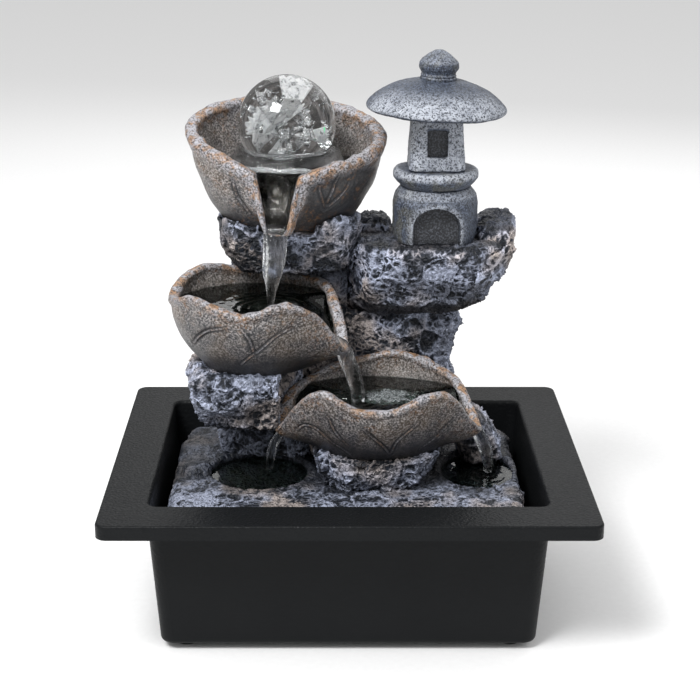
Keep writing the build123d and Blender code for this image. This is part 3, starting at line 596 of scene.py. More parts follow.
def rock_relief(p, seed, shape):
    """Facets, crumples and creases: height in millimetres, and how far up a crest each point is."""
    bend = np.stack([wander(p / 8 + 17.3 * k, seed + k) for k in range(3)], axis=1)
    small = np.stack([wander(p / 2.4 + 9.1 * k, seed + 20 + k) for k in range(3)], axis=1)
    q = p + shape["warp"] * bend
    near, second, tag, away = cells(q / shape["facet"], seed + 5)
    gap = second - near
    facet = shape["tilt"] * (away * (tag * 2 - 1)).sum(axis=1) + shape["step"] * (tag[:, 0] - 0.5)
    facet *= step_up(gap, 0.0, 0.22)
    crease = bell(gap, 0.06) * (tag[:, 1] > 0.5)
    edge = bell(gap, 0.10) * (tag[:, 1] <= 0.5)
    near, second, tag, away = cells((q + 0.7 * small) / CRUMPLE, seed + 6)
    fold = bell(second - near, 0.16)
    tilt = (away * (tag * 2 - 1)).sum(axis=1)
    near, second, tag, away = cells((q + 0.7 * small) / FINE_CRUMPLE, seed + 7)
    fine = bell(second - near, 0.22)
    rough = 0.35 + 0.65 * step_up(wander(p / 14, seed + 30), -0.35, 0.3)
    wrinkle = shape["wrinkle"] * rough
    height = facet - 0.8 * crease + 0.5 * edge
    height += wrinkle * (0.75 * fold + 0.9 * tilt + 0.32 * fine - 0.35)
    crest = 0.65 * edge + 0.75 * fold * rough + 0.28 * fine * rough + 0.10 * facet - 0.4 * crease
    return height, np.clip(crest, 0, 1)


ROCK = dict(warp=2.4, facet=12.0, tilt=2.4, step=1.5, wrinkle=0.9, paint=0.75)
ROCKS = {
    "rock_base": (0.90, 3, dict(ROCK, facet=15.0, tilt=1.2, step=0.7, wrinkle=0.75, paint=0.7)),
    "rock_column": (0.72, 5, ROCK),
    "rock_front": (0.60, 5, dict(ROCK, facet=10.0)),
    "rock_left": (0.62, 5, dict(ROCK, facet=11.0, tilt=2.8, paint=0.8)),
    "rock_right": (0.60, 5, ROCK),
    "rock_top": (0.62, 5, dict(ROCK, tilt=2.8, wrinkle=0.7, paint=0.7)),
    "rock_ledge": (0.66, 5, dict(ROCK, facet=15.0, tilt=1.6, paint=1.25)),
}
PLATE_LEGS = 50.0        # below this height the base has only its legs
PLATE_TOP = 59.0
POOL_DEPTH = 6.9         # from the base's highest point down to the pools' floor
POOL_WATER = 5.4         # depth of the water in them
POOLS = {"left": ((-40.0, -7.0), (22.0, 21.0)), "right": ((59.0, -5.0), (16.5, 20.5))}


def shaft_mask(p):
    """0 in the wiring shaft and on hidden legs, where the rock stays plain, and 1 outside."""
    lo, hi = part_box("water_hose")
    x0, x1 = lo.x / MM - 10, hi.x / MM + 4
    y0, y1 = lo.y / MM - 4, hi.y / MM + 4
    inside = (p[:, 0] > x0) & (p[:, 0] < x1) & (p[:, 1] > y0) & (p[:, 1] < y1)
    return np.where(inside | (p[:, 2] < PLATE_LEGS), 0.0, 1.0)


def shade_of(node, p, n, height):
    """Painted shade under overhangs, in hollows, on the column's upper part and on the base behind the
    lower bowl; the pools' floors and the ledge's flat top are painted dark too.
    """
    # painted shade: dark on faces that look down and in the hollows of the relief
    under = step_up(-n[:, 2], 0.05, 0.75)
    hollow = 0.75 * step_up(-height, 0.5, 1.9)
    shade = np.maximum(under, hollow)
    if node == "rock_ledge":
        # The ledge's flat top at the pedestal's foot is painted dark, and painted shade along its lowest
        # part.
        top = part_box("lantern_pedestal")[0].z / MM
        flat = step_up(n[:, 2], 0.35, 0.75) * step_up(p[:, 2], top - 3.5, top - 1.0)
        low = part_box(node)[0].z / MM
        foot = 1 - step_up(p[:, 2], low + 1, low + 9)
        shade = np.maximum(shade, np.maximum(0.88 * flat, 0.8 * foot))
    if node == "rock_column":
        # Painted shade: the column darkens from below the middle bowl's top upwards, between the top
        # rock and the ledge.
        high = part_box("leaf_bowl_middle")[1].z / MM
        shade = np.maximum(shade, 0.85 * step_up(p[:, 2], high - 14, high - 4))
    if node == "rock_base":
        # The pools' floors are painted darker.
        for (x, y), (a, b) in POOLS.values():
            reach = np.hypot((p[:, 0] - x) / a, (p[:, 1] - y) / b)
            shade = np.maximum(shade, 0.85 * (1 - step_up(reach, 0.93, 1.02)))
        # Painted shade on the base behind and under the lower bowl.
        behind = step_up(p[:, 0], -30, -18) * (1 - step_up(p[:, 0], 42, 50))
        behind *= step_up(p[:, 1], -32, -22)
        shade = np.maximum(shade, 0.85 * behind)
    return shade


def base_banks(p, n):
    """Raised banks round the pools and a round pebble beside the left one."""
    up = step_up(n[:, 2], 0.3, 0.8) * (p[:, 2] > PLATE_TOP)
    rise = np.zeros(len(p))
    for (x, y), (a, b) in POOLS.values():
        beyond = (np.hypot((p[:, 0] - x) / a, (p[:, 1] - y) / b) - 1) * (a + b) / 2
        front = 1 - step_up(p[:, 1], y - 10, y + 2)
        rise += (1.7 - 1.3 * front) * bell(beyond - 1.8, 1.9)
    reach = np.hypot((p[:, 0] + 69.0) / 6.8, (p[:, 1] + 7.0) / 8.0)
    pebble = 4.2 * np.sqrt(np.clip(1 - reach ** 2, 0, None))
    groove = bell(reach - 1.08, 0.12)
    return up * (rise + pebble - 0.8 * groove), up * np.clip(rise, 0, 1) + (reach < 1), groove


def make_rock(node, voxel, rounds, shape, seed):
    mesh = remeshed(node, voxel)
    p = smoothed(mesh, points_of(mesh), rounds)
    set_points(mesh, p)
    n = normals_of(mesh)
    height, crest = rock_relief(p, seed, shape)
    calm = 0.5 * step_up(wander(p / 13 + 3.3, seed + 40), 0.0, 0.4)
    lift = height * shaft_mask(p)
    if node == "rock_base":
        rise, bank, groove = base_banks(p, n)
        calm = np.maximum(calm, 0.75 * step_up(p[:, 1], -26, -14))
        lift = lift * (1 - 0.6 * calm) * (1 - 0.5 * np.clip(bank, 0, 1)) + rise
    shade = shade_of(node, p, n, height)
    paint = shape["paint"] * (1 - 0.85 * calm)
    if node == "rock_base":
        front = 1 - step_up(p[:, 1], -38, -30)
        # Painted shade in the groove round the pebble; the whole base is painted at least half dark.
        shade = np.maximum(np.maximum(shade, 0.85 * groove), 0.50)
        paint = paint + 0.6 * front
    set_points(mesh, p + n * lift[:, None])
    put(mesh, "crest", crest)
    put(mesh, "paint", paint)
    put(mesh, "shade", shade)
    make_piece(node + "_stone", mesh, "sculpture", "rock", "rock", node)


for number, (node, (voxel, rounds, shape)) in enumerate(ROCKS.items()):
    make_rock(node, voxel, rounds, shape, 101 + 13 * number)


# Leaf bowls. Heights are above the bowl's foot and bearings are in degrees from +X.

LIP = 3.4                # thickness of the wall at its lip
LIP_RISE = 2.0
COLUMNS = 500
FOOT_ROWS, WALL_ROWS, LIP_ROWS, INSIDE_ROWS = 4, 60, 18, 46
CREST_ROW = FOOT_ROWS + WALL_ROWS + LIP_ROWS // 2
CREST_BELOW = 2          # rows from the crest down to where the outside's paint begins
LEAVES = {
    "leaf_bowl_lower": dict(
        floor=4.0, rim=27.0, lean=(0.0, 0.0), level=20.4,
        waves=((356, -18, 28), (184, -18, 24), (303, 8, 20), (236, 8, 16), (145, -4, 20),
               (78, 5, 22)),
        spouts=((356, 2.2, 15), (184, 2.0, 14)), chute=(0, 0, 1), roll=0.35, band=0.85,
        veins=(((261, 0.73), (266, 0.54), (272, 0.36), (278, 0.14)),
               ((279, 0.16), (281, 0.39), (286, 0.53), (293, 0.66)),
               ((305, 0.12), (311, 0.32), (315, 0.56), (319, 0.80)),
               ((239, 0.72), (240, 0.54), (242, 0.42), (247, 0.26)),
               ((210, 0.60), (219, 0.62), (226, 0.51), (230, 0.37), (237, 0.20), (246, 0.08)))),
    "leaf_bowl_middle": dict(
        floor=4.0, rim=33.0, lean=(0.0, 0.0), level=28.3,
        waves=((350, -24, 27), (290, 3, 16), (262, -2, 12), (226, 4, 18), (130, 5.5, 28),
               (180, -2, 14)),
        spouts=((350, 2.5, 14),), chute=(0, 0, 1), roll=0.5, band=0.9,
        veins=(((258, 0.22), (265, 0.36), (275, 0.48), (285, 0.63), (295, 0.74)),
               ((262, 0.86), (266, 0.70), (268, 0.56), (270, 0.40)),
               ((214, 0.40), (226, 0.53), (238, 0.68), (253, 0.84)))),
    "leaf_bowl_top": dict(
        floor=18.0, rim=42.0, lean=(-2.0, 9.5), level=27.6,
        waves=((265, -22.5, 10.5, 5), (265, -6.5, 24)),
        spouts=((265, 2.5, 10),), chute=(265, 8.0, 12), roll=1.3, band=1.6,
        veins=(((291, 0.80), (293, 0.63), (298, 0.40)),
               ((303, 0.90), (301, 0.73), (298, 0.50)),
               ((313, 0.72), (307, 0.56), (299, 0.42)),
               ((236, 0.80), (238, 0.55), (243, 0.30)))),
}


DARK_SIDE = 308          # bearing of the top bowl's dark side


def apart(bearing, at):
    """Degrees from one bearing to others, -180 to 180."""
    return (bearing - at + 180) % 360 - 180


def rim_of(leaf, bearing):
    """Height of the lip's crest at some bearings."""
    t = np.radians(bearing)
    z = leaf["rim"] + leaf["lean"][0] * np.cos(t) + leaf["lean"][1] * np.sin(t)
    for at, height, spread, *steep in leaf["waves"]:
        off = np.abs(apart(bearing, at))
        z = z + height * np.exp(-(off / spread) ** (steep[0] if steep else 2))
    return z


def chute_of(leaf, bearing):
    """How far the floor of the bowl rises towards its chute."""
    at, height, spread = leaf["chute"]
    off = apart(bearing, at)
    return height * bell(off, spread)


def open_of(leaf, bearing):
    """1 where a spout lets the water over the lip, 0 elsewhere."""
    total = np.zeros(np.shape(bearing))
    for at, _, spread in leaf["spouts"]:
        off = apart(bearing, at)
        total = np.maximum(total, np.exp(-(off / (0.6 * spread)) ** 4))
    return total


def water_top(leaf, bearing):
    """Height of the water's edge: level, but falling away inside the lip towards a low spout."""
    spare = rim_of(leaf, bearing) - LIP_RISE - leaf["level"]
    drop = 0.0 if leaf["chute"][1] else 4.0 * step_up(-spare, 0.0, 4.0)
    return leaf["level"] + np.minimum(spare, 0) - drop


def flare_of(leaf, bearing, part):
    """How far the wall leans out beyond its plan, at the lobes and the spouts."""
    out = 0.9 * np.clip((rim_of(leaf, bearing) - leaf["rim"]) / 6, -1, 1.5) * step_up(part, 0.6, 1)
    for at, reach, spread in leaf["spouts"]:
        off = apart(bearing, at)
        out = out + reach * bell(off, spread) * step_up(part, 0.3, 1)
    return out


def leaf_plan(node):
    """Plan centre, half widths and foot height of a leaf bowl, in millimetres."""
    lo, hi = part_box(node)
    centre = np.array([lo.x + hi.x, lo.y + hi.y]) / 2 / MM
    half = np.array([hi.x - lo.x, hi.y - lo.y]) / 2 / MM
    return centre, half, lo.z / MM


def on_leaf(node, bearing, part, base, share, inset, rise):
    """Points on a leaf bowl: part of the way from the base height up to the lip."""
    leaf = LEAVES[node]
    centre, half, foot = leaf_plan(node)
    t = np.radians(bearing)
    out = flare_of(leaf, bearing, part) - inset
    x = centre[0] + (share * half[0] + out) * np.cos(t)
    y = centre[1] + (share * half[1] + out) * np.sin(t)
    base = base + chute_of(leaf, bearing) if base else base
    lift = rise * (1 - 0.8 * open_of(leaf, bearing))
    z = foot + base + part * (rim_of(leaf, bearing) - LIP_RISE - base) + lift
    return np.stack([x, y, z], axis=-1)


def outer_share(part):
    return 0.62 + 0.38 * (1 - (1 - np.clip(part, 0, 1)) ** 1.78)


def inner_share(part):
    return 0.62 + 0.38 * (1 - (1 - np.clip(part, 0, 1)) ** 2.0)


def leaf_profile(leaf):
    """Rows up the outside, round the lip and down the inside: (part, base, share, inset, rise)."""
    rows = [(0, 0, share, 0, 0) for share in (0.2, 0.4, 0.52, 0.60)]
    rows += [(p, 0, outer_share(p), 0, 0) for p in np.linspace(0.0, 0.94, WALL_ROWS)]
    for turn in np.radians(np.linspace(-25, 200, LIP_ROWS)):
        inset = LIP / 2 - (LIP / 2 + 0.55) * math.cos(turn)
        rows.append((1.0, 0, 1.0, inset, LIP_RISE * math.sin(turn)))
    floor = leaf["floor"]
    rows += [(p, floor, inner_share(p), LIP, 0) for p in np.linspace(0.94, 0.0, INSIDE_ROWS)]
    rows += [(0, floor, share, LIP, 0) for share in (0.45, 0.2)]
    return rows


def to_line(p, line):
    """Distance from points to a broken line, and how far along it they are, 0 to 1."""
    best = np.full(len(p), 1e9)
    along = np.zeros(len(p))
    for k, (a, b) in enumerate(zip(line, line[1:])):
        t = np.clip((p - a) @ (b - a) / ((b - a) @ (b - a)), 0, 1)
        d = np.linalg.norm(p - a - t[:, None] * (b - a), axis=1)
        closer = d < best
        best = np.where(closer, d, best)
        along = np.where(closer, (k + t) / (len(line) - 1), along)
    return best, along


def to_crest(p, crest):
    """Distance from each point to the lip's crest line."""
    tree = KDTree(len(crest))
    for k, point in enumerate(crest):
        tree.insert(point, k)
    tree.balance()
    return np.array([tree.find(point)[2] for point in p])


def vein_relief(node, p, outside):
    """Pairs of grooves along the veins: height, groove strength and the crest between them."""
    height, groove, crest = np.zeros(len(p)), np.zeros(len(p)), np.zeros(len(p))
    for vein in LEAVES[node]["veins"]:
        bearing, part = np.array(vein, float).T
        line = on_leaf(node, bearing, part, 0, outer_share(part), 0, 0)
        dense = smooth_line(line, 24)
        d, along = to_line(p, dense)
        taper = np.sin(np.pi * np.clip(along, 0.04, 0.96)) ** 0.5 * outside
        pair = bell(d - 0.85, 0.42) * taper
        between = bell(d, 0.42) * taper
        height += 0.3 * between - 0.9 * pair
        groove = np.maximum(groove, np.clip(1.5 * pair, 0, 1))
        crest = np.maximum(crest, between)
    return height, groove, crest


def smooth_line(points, count):
    """A smooth curve through some points."""
    points = np.asarray(points, float)
    padded = np.vstack([2 * points[0] - points[1], points, 2 * points[-1] - points[-2]])
    out = []
    for s in np.linspace(0, len(points) - 1.0001, count):
        i, t = int(s), s - int(s)
        a, b, c, d = padded[i:i + 4]
        out.append(0.5 * (2 * b + (c - a) * t + (2 * a - 5 * b + 4 * c - d) * t ** 2
                          + (3 * b - a - 3 * c + d) * t ** 3))
    return np.array(out)


def ring_faces(rows, columns):
    """Faces between rows of points that each close on themselves."""
    faces = []
    for r in range(rows - 1):
        for c in range(columns):
            a, b = r * columns + c, r * columns + (c + 1) % columns
            faces.append((a, b, b + columns, a + columns))
    return faces


def tube_faces(rows, columns, low, high):
    """Faces between closed rows of points, with fans that close both ends on two middle points."""
    last = (rows - 1) * columns
    faces = ring_faces(rows, columns)
    faces += [((c + 1) % columns, c, low) for c in range(columns)]
    return faces + [(last + c, last + (c + 1) % columns, high) for c in range(columns)]


def make_leaf(node, seed):
    leaf = LEAVES[node]
    centre, _, foot = leaf_plan(node)
    bearing = np.linspace(0, 360, COLUMNS, endpoint=False)
    profile = leaf_profile(leaf)
    p = np.concatenate([on_leaf(node, bearing, *row) for row in profile])
    row = np.repeat(np.arange(len(profile)), COLUMNS)
    ends = [(*centre, foot), (*centre, foot + leaf["floor"])]
    faces = tube_faces(len(profile), COLUMNS, len(p), len(p) + 1)
    mesh = closed(node + "_leaf", np.vstack([p, ends]), faces)
    row = np.append(row, (0, len(profile) - 1))
    b = np.append(np.tile(bearing, len(profile)), (0, 0))
    p, n = points_of(mesh), normals_of(mesh)
    outside = (row < CREST_ROW - CREST_BELOW).astype(float)
    edge = to_crest(p, on_leaf(node, bearing, 1.0, 0, 1.0, LIP / 2, LIP_RISE)) / leaf["band"]
    grooves, vein, ridge = vein_relief(node, p, outside)
    down = np.abs(row - CREST_ROW) / 45
    fold = wander(np.stack([b / 9, down, np.full(len(b), seed)], axis=1), seed)
    relief = 0.75 * wander(p / 11, seed) + 0.13 * wander(p / 1.7, seed + 1) + grooves
    relief += 0.9 * fold * (1 - outside) * step_up(CREST_ROW + 44 - row, 0, 20)
    roll = leaf["roll"] * (1 + 0.25 * wander(p / 9, seed + 5)) * (1 - open_of(leaf, b))
    rolled = bell(edge - 2.0, 2.1) - 0.35 * bell(edge - 5.6, 1.2)
    relief += outside * roll * rolled
    relief += (1 - outside) * 0.5 * roll * bell(edge - 2.2, 1.8)
    relief += 0.30 * bell(edge, 4.0) * wander(p / 3.2, seed + 6)
    relief *= step_up(row, 3, 9)
    set_points(mesh, p + n * relief[:, None])
    rim = np.append(np.tile(rim_of(leaf, bearing), len(profile)), (0, 0)) + foot
    width = np.where(outside > 0, 2.9, 3.2) * (1 + 0.35 * wander(p / 12, seed + 9))
    put(mesh, "lip", np.maximum(bell(edge, width), 0.55 * ridge))
    put(mesh, "near", bell(edge, np.where(outside > 0, 11.0, 8.0)))
    put(mesh, "vein", vein)
    put(mesh, "inside", 1 - outside)
    put(mesh, "streak", 0.5 + 0.9 * fold)
    level = foot + 0.8 + (leaf["level"] if leaf["chute"][1] else water_top(leaf, b))
    pour = step_up(chute_of(leaf, b), 1.5, 4.0) * step_up(edge, 1.5, 4.0)
    damp = step_up(level - p[:, 2] + 1.0 * wander(p / 5, seed + 2), 0, 2.5)
    put(mesh, "wet", (1 - outside) * np.maximum(damp, pour))
    # Painted shade: the outside darkens towards the bowl's foot; on the top bowl its right side below
    # the lip is painted dark too.
    climb = (p[:, 2] - foot) / np.maximum(rim - foot, 1)
    low = 1 - step_up(climb, 0.0, 0.55)
    if leaf["chute"][1]:
        right = np.exp(-(apart(b, DARK_SIDE) / 38) ** 4)
        low = np.maximum(low, right * step_up(edge, 2.0, 4.0))
    put(mesh, "low", outside * low)
    make_piece(node + "_leaf", mesh, "sculpture", "leaf", "leaf", node)


for number, node in enumerate(LEAVES):
    make_leaf(node, 11 + number)


# Lantern

def tilted(p, centre, degrees):
    """Points turned about an axis along Y through a centre."""
    t = math.radians(degrees)
    x, z = p[:, 0] - centre[0], p[:, 2] - centre[2]
    return np.stack([centre[0] + x * math.cos(t) + z * math.sin(t), p[:, 1],
                     centre[2] - x * math.sin(t) + z * math.cos(t)], axis=1)


def stone_relief(p, seed):
    """Weathered cast stone: a slow wobble with pits."""
    near, _, tag, _ = cells(p / 1.7, seed)
    pit = bell(near, 0.30) * (tag[:, 0] > 0.35)
    return 0.30 * wander(p / 9, seed + 1) + 0.12 * wander(p / 1.9, seed + 2) - 0.34 * pit, pit


def arch_gap(p, lo, middle):
    """Distance in front view from each point to the outline of the pedestal's arch."""
    x, z = np.abs(p[:, 0] - middle[0]), p[:, 2] - lo[2] - 7.8
    return np.where(z > 0, np.hypot(x, z), x) - 10.2


def make_stone(node, voxel, rounds, seed, lean=0.0):
    mesh = remeshed(node, voxel)
    lo, hi = box_of(node)
    p = smoothed(mesh, points_of(mesh), rounds)
    plain = p.copy()
    set_points(mesh, p)
    n = normals_of(mesh)
    relief, pit = stone_relief(p, seed)
    p = p + n * relief[:, None]
    if lean:
        p = tilted(p, (lo + hi) / 2, lean)
    set_points(mesh, p)
    middle = (lo + hi) / 2
    reach = np.linalg.norm(plain[:, :2] - middle[:2], axis=1) / ((hi[0] - lo[0]) / 2)
    edge = step_up(reach, 0.80, 0.97) * step_up(n[:, 2], -0.2, 0.15)
    if node == "lantern_roof":
        edge = step_up(reach, 0.55, 0.97) * step_up(-n[:, 1], 0.0, 0.35) * step_up(n[:, 2], -0.7, -0.3)
    if node == "lantern_pedestal":
        edge = 0.8 * bell(arch_gap(plain, lo, middle), 2.2) * step_up(-n[:, 1], 0.2, 0.6)
        edge = np.maximum(edge, 0.5 * step_up(n[:, 2], 0.15, 0.45) * (1 - step_up(n[:, 2], 0.7, 0.9)))
    put(mesh, "crest", np.clip(edge * (1 - pit) * (0.75 + 0.35 * wander(p / 5, seed)), 0, 1))
    put(mesh, "pit", pit)
    put(mesh, "olive", olive_of(node, plain, lo, hi, seed))
    # Painted shade in the arch, the windows and under the roof.
    put(mesh, "shade", recess_of(node, plain, n, lo, hi))
    make_piece(node + "_stone", mesh, "sculpture", "lantern", "lantern_stone", node)


def olive_of(node, p, lo, hi, seed):
    """Olive tint: on the platform's front and on the left of the stones below the roof."""
    across = (p[:, 0] - lo[0]) / (hi[0] - lo[0])
    side = step_up(wander(p / 5, seed + 8), -0.3, 0.3)
    if node == "lantern_platform":
        return side * step_up(-(p[:, 1] - lo[1]), -12, -3)
    return side * (1 - step_up(across, 0.10, 0.35)) * (node != "lantern_roof")


def recess_of(node, p, n, lo, hi):
    """Painted shade in the lantern's arch and windows, and under its roof."""
    middle = (lo + hi) / 2
    x = np.abs(p[:, 0] - middle[0])
    if node == "lantern_pedestal":
        inside = (x < 10.8) & (p[:, 1] < lo[1] + 7.2) & (p[:, 1] > lo[1] + 1.6)
        arch = p[:, 2] - lo[2] < 8.2 + np.sqrt(np.clip(10.6 ** 2 - x ** 2, 0, None))
        return (inside & arch & (np.abs(n[:, 1]) > 0.3)).astype(float)
    if node == "lantern_chamber":
        tall = (p[:, 2] > lo[2] + 6.0) & (p[:, 2] < hi[2] - 7.1)
        deep = np.abs(p[:, 1] - middle[1]) < 12.6 - 0.066 * (p[:, 2] - lo[2]) - 1.0
        return (tall & (x < 4.9) & deep & (np.abs(n[:, 1]) > 0.3)).astype(float)
    # Painted shade on faces that look down.
    return 0.6 * step_up(-n[:, 2], 0.8, 0.97)


make_stone("lantern_pedestal", 0.55, 2, 61)
make_stone("lantern_platform", 0.55, 3, 62)
make_stone("lantern_chamber", 0.50, 1, 63)
make_stone("lantern_roof", 0.60, 2, 64, 2.5)


def turned_piece(name, profile, centre, columns, wobble, seed):
    """A closed mesh turned about an upright axis from (radius, height) points."""
    line = smooth_line(profile, 72)
    t = np.linspace(0, 2 * math.pi, columns, endpoint=False)
    rings = [np.stack([centre[0] + r * np.cos(t), centre[1] + r * np.sin(t),
                       np.full(columns, z)], axis=1) for r, z in line]
    p = np.concatenate(rings)
    ends = [(centre[0], centre[1], line[0][1]), (centre[0], centre[1], line[-1][1])]
    faces = tube_faces(len(line), columns, len(p), len(p) + 1)
    mesh = closed(name, np.vstack([p, ends]), faces)
    p = points_of(mesh)
    set_points(mesh, p + normals_of(mesh) * (wobble * wander(p / 2.2, seed))[:, None])
    return mesh


def make_finial():
    """Jewel on two collar rings, leaning with the roof."""
    lo, hi = box_of("lantern_finial")
    base = lo[2]
    profile = [(7.0, base - 0.6), (7.9, base - 0.2), (8.0, base + 0.8), (7.6, base + 1.3),
               (7.8, base + 1.8), (7.6, base + 2.3), (7.5, base + 2.8), (7.9, base + 3.6),
               (8.7, base + 5.0), (8.8, base + 6.4), (8.5, base + 7.7), (6.9, base + 9.5),
               (5.0, base + 11.0), (3.4, base + 12.0), (1.9, base + 12.8), (0.4, base + 13.1)]
    middle = (lo + hi) / 2
    mesh = turned_piece("lantern_finial_stone", profile, middle, 110, 0.12, 71)
    p, n = points_of(mesh), normals_of(mesh)
    relief, pit = stone_relief(p, 72)
    roof_lo, roof_hi = box_of("lantern_roof")
    set_points(mesh, tilted(p + n * (0.8 * relief)[:, None], (roof_lo + roof_hi) / 2, 2.5))
    put(mesh, "crest", 0.25 * step_up(n[:, 2], 0.0, 0.7) * (1 - pit))
    put(mesh, "pit", pit)
    put(mesh, "olive", 0.5 * step_up(wander(p / 4, 75), 0.0, 0.4))
    put(mesh, "shade", np.zeros(len(p)))
    make_piece("lantern_finial_stone", mesh, "sculpture", "lantern", "lantern_stone",
               "lantern_finial")


make_finial()


# Glass ball

def make_ball():
    """A clear sphere, turned from its own profile, with no wobble."""
    lo, hi = box_of("glass_ball")
    middle, r = (lo + hi) / 2, (hi[2] - lo[2]) / 2
    turn = np.radians(np.linspace(-89.2, 89.2, 90))
    profile = [(r * math.cos(a), middle[2] + r * math.sin(a)) for a in turn]
    mesh = turned_piece("ball_glass_shell", profile, middle, 144, 0.0, 81)
    make_piece("ball_glass_shell", mesh, "glass_ball", "ball", "ball_glass", "glass_ball")
    return middle, r


def fracture(random, middle, radius):
    """One crack in the glass: a thin curved fan from near the middle towards the skin."""
    way = random.normal(size=3) + (-0.45, -0.2, 0.35)
    way /= np.linalg.norm(way)
    side = np.cross(way, random.normal(size=3))
    side /= np.linalg.norm(side)
    normal = np.cross(way, side)
    start, reach = random.uniform(0.5, 4.0), radius * random.uniform(0.45, 0.93)
    spread, bend = math.radians(random.uniform(12, 42)), random.uniform(-0.25, 0.25)
    along, across = 9, 11
    top, low = [], []
    jag = random.uniform(0.78, 1.0, across)
    for i in range(along):
        for j in range(across):
            a = spread * (j / (across - 1) * 2 - 1)
            d = start + (reach * jag[j] - start) * i / (along - 1)
            point = d * (math.cos(a) * way + math.sin(a) * side)
            point = point + normal * (bend * d * d / reach + 0.25 * math.sin(3 * a + d))
            top.append(middle + point + normal * 0.05)
            low.append(middle + point - normal * 0.05)
    return np.array(top + low), plate_faces(along, across)


def plate_faces(along, across):
    """Faces of a closed thin plate: a top grid, a bottom grid and the strip between."""
    count, faces = along * across, []
    for i in range(along - 1):
        for j in range(across - 1):
            a = i * across + j
            quad = (a, a + 1, a + across + 1, a + across)
            faces.append(quad)
            faces.append(tuple(count + k for k in reversed(quad)))
    edge = list(range(across)) + [i * across + across - 1 for i in range(1, along)]
    edge += [(along - 1) * across + j for j in range(across - 2, -1, -1)]
    edge += [i * across for i in range(along - 2, 0, -1)]
    for a, b in zip(edge, edge[1:] + edge[:1]):
        faces.append((b, a, a + count, b + count))
    return faces


def joined(shapes):
    """Points and faces of several shapes as one."""
    points, faces, count = [], [], 0
    for p, f in shapes:
        points.append(p)
        faces += [tuple(k + count for k in face) for face in f]
        count += len(p)
    return np.concatenate(points), faces


def flake(random, middle, radius):
    """A small curled scale of cracked glass somewhere in the ball."""
    way = random.normal(size=3)
    way *= random.uniform(0.15, 0.90) / np.linalg.norm(way)
    a, b = np.linalg.qr(random.normal(size=(3, 2)))[0].T
    normal, size = np.cross(a, b), random.uniform(0.5, 2.0)
    u, v = (k.ravel() for k in np.meshgrid(*[np.linspace(-1, 1, 4)] * 2, indexing="ij"))
    flat = np.outer(u * size * random.uniform(0.4, 1.0), a) + np.outer(v * size, b)
    top = middle + radius * way + flat + np.outer(0.3 * size * (u * u - v), normal)
    return np.vstack([top + 0.04 * normal, top - 0.04 * normal]), plate_faces(4, 4)


# Pale cracks: the apex from the ball's middle, the fan's first and last angle, its reach and its lean.
VEILS = (((-2.5, -4.0, -2.5), (128, 182), 13.5, -0.10), ((-3.0, -3.0, -1.0), (36, 84), 12.5, 0.15),
         ((2.0, -2.0, -3.0), (-20, 12), 12.0, 0.30), ((-1.0, 1.0, -3.0), (232, 262), 11.0, 0.10))


def veil(random, middle, apex, fan, reach, lean):
    """A broad pale crack that faces the front: a fan of points from its apex."""
    along, across = 12, 22
    top = []
    jag = random.uniform(0.80, 1.0, across)
    for i in range(along):
        for j in range(across):
            a = math.radians(fan[0] + (fan[1] - fan[0]) * j / (across - 1))
            d = 0.4 + (reach * jag[j] - 0.4) * i / (along - 1)
            curl = lean * d + 0.5 * math.sin(5 * a + 0.5 * d)
            top.append(middle + apex + (d * math.cos(a), curl, d * math.sin(a)))
    top = np.array(top)
    return np.vstack([top, top + (0, 0.12, 0)]), plate_faces(along, across)


def make_fractures(middle, radius):
    random = np.random.default_rng(5)
    veils = [veil(random, middle, *shape) for shape in VEILS]
    plates = [fracture(random, middle, radius) for _ in range(9)]
    scales = [flake(random, middle, radius) for _ in range(170)]
    # Painted glint: one small crack right of the ball's middle glows green.
    spark = flake(random, middle + (0.70 * radius, -0.45 * radius, -0.02 * radius), 0.5)
    for name, shapes, material in (("ball_veils", veils, "veil"), ("ball_fractures", plates, "fracture"),
                                   ("ball_flakes", scales, "flake"), ("ball_glint", [spark], "glint")):
        mesh = closed(name, *joined(shapes))
        make_piece(name, mesh, "glass_ball", material, "ball_glass")


make_fractures(*make_ball())


# Water

def spot(node, dx, dy, dz):
    """A point measured from the middle of a node's foot, in millimetres."""
    lo, hi = box_of(node)
    return np.array([(lo[0] + hi[0]) / 2 + dx, (lo[1] + hi[1]) / 2 + dy, lo[2] + dz])


def rings_on_water(p, drops):
    """Height of the ripples round the places where water falls in."""
    height = np.zeros(len(p))
    for at, strength, length in drops:
        d = np.linalg.norm(p[:, :2] - np.asarray(at)[:2], axis=1)
        height += strength * np.cos(2 * math.pi * d / length) * np.exp(-d / (2.2 * length))
    return height


def chute_film(node, surface, bearing, steps):
    """Heights of a surface that runs down the chute as a thin film."""
    leaf = LEAVES[node]
    centre, _, foot = leaf_plan(node)
    part = np.linspace(0, 1, 60)
    z = surface[:, 2].copy()
    for k, at in enumerate(bearing):
        if chute_of(leaf, at) < 0.8:
            continue
        wall = on_leaf(node, np.full(60, at), part, leaf["floor"], inner_share(part), LIP, 0)
        reach = np.hypot(*(wall[:, :2] - centre).T)
        mine = np.arange(steps) * len(bearing) + k
        out = np.hypot(*(surface[mine, :2] - centre).T)
        floor = np.interp(out, reach, wall[:, 2])
        z[mine] = np.where(out > reach[0], np.minimum(foot + leaf["level"], floor + 0.9), z[mine])
    return z


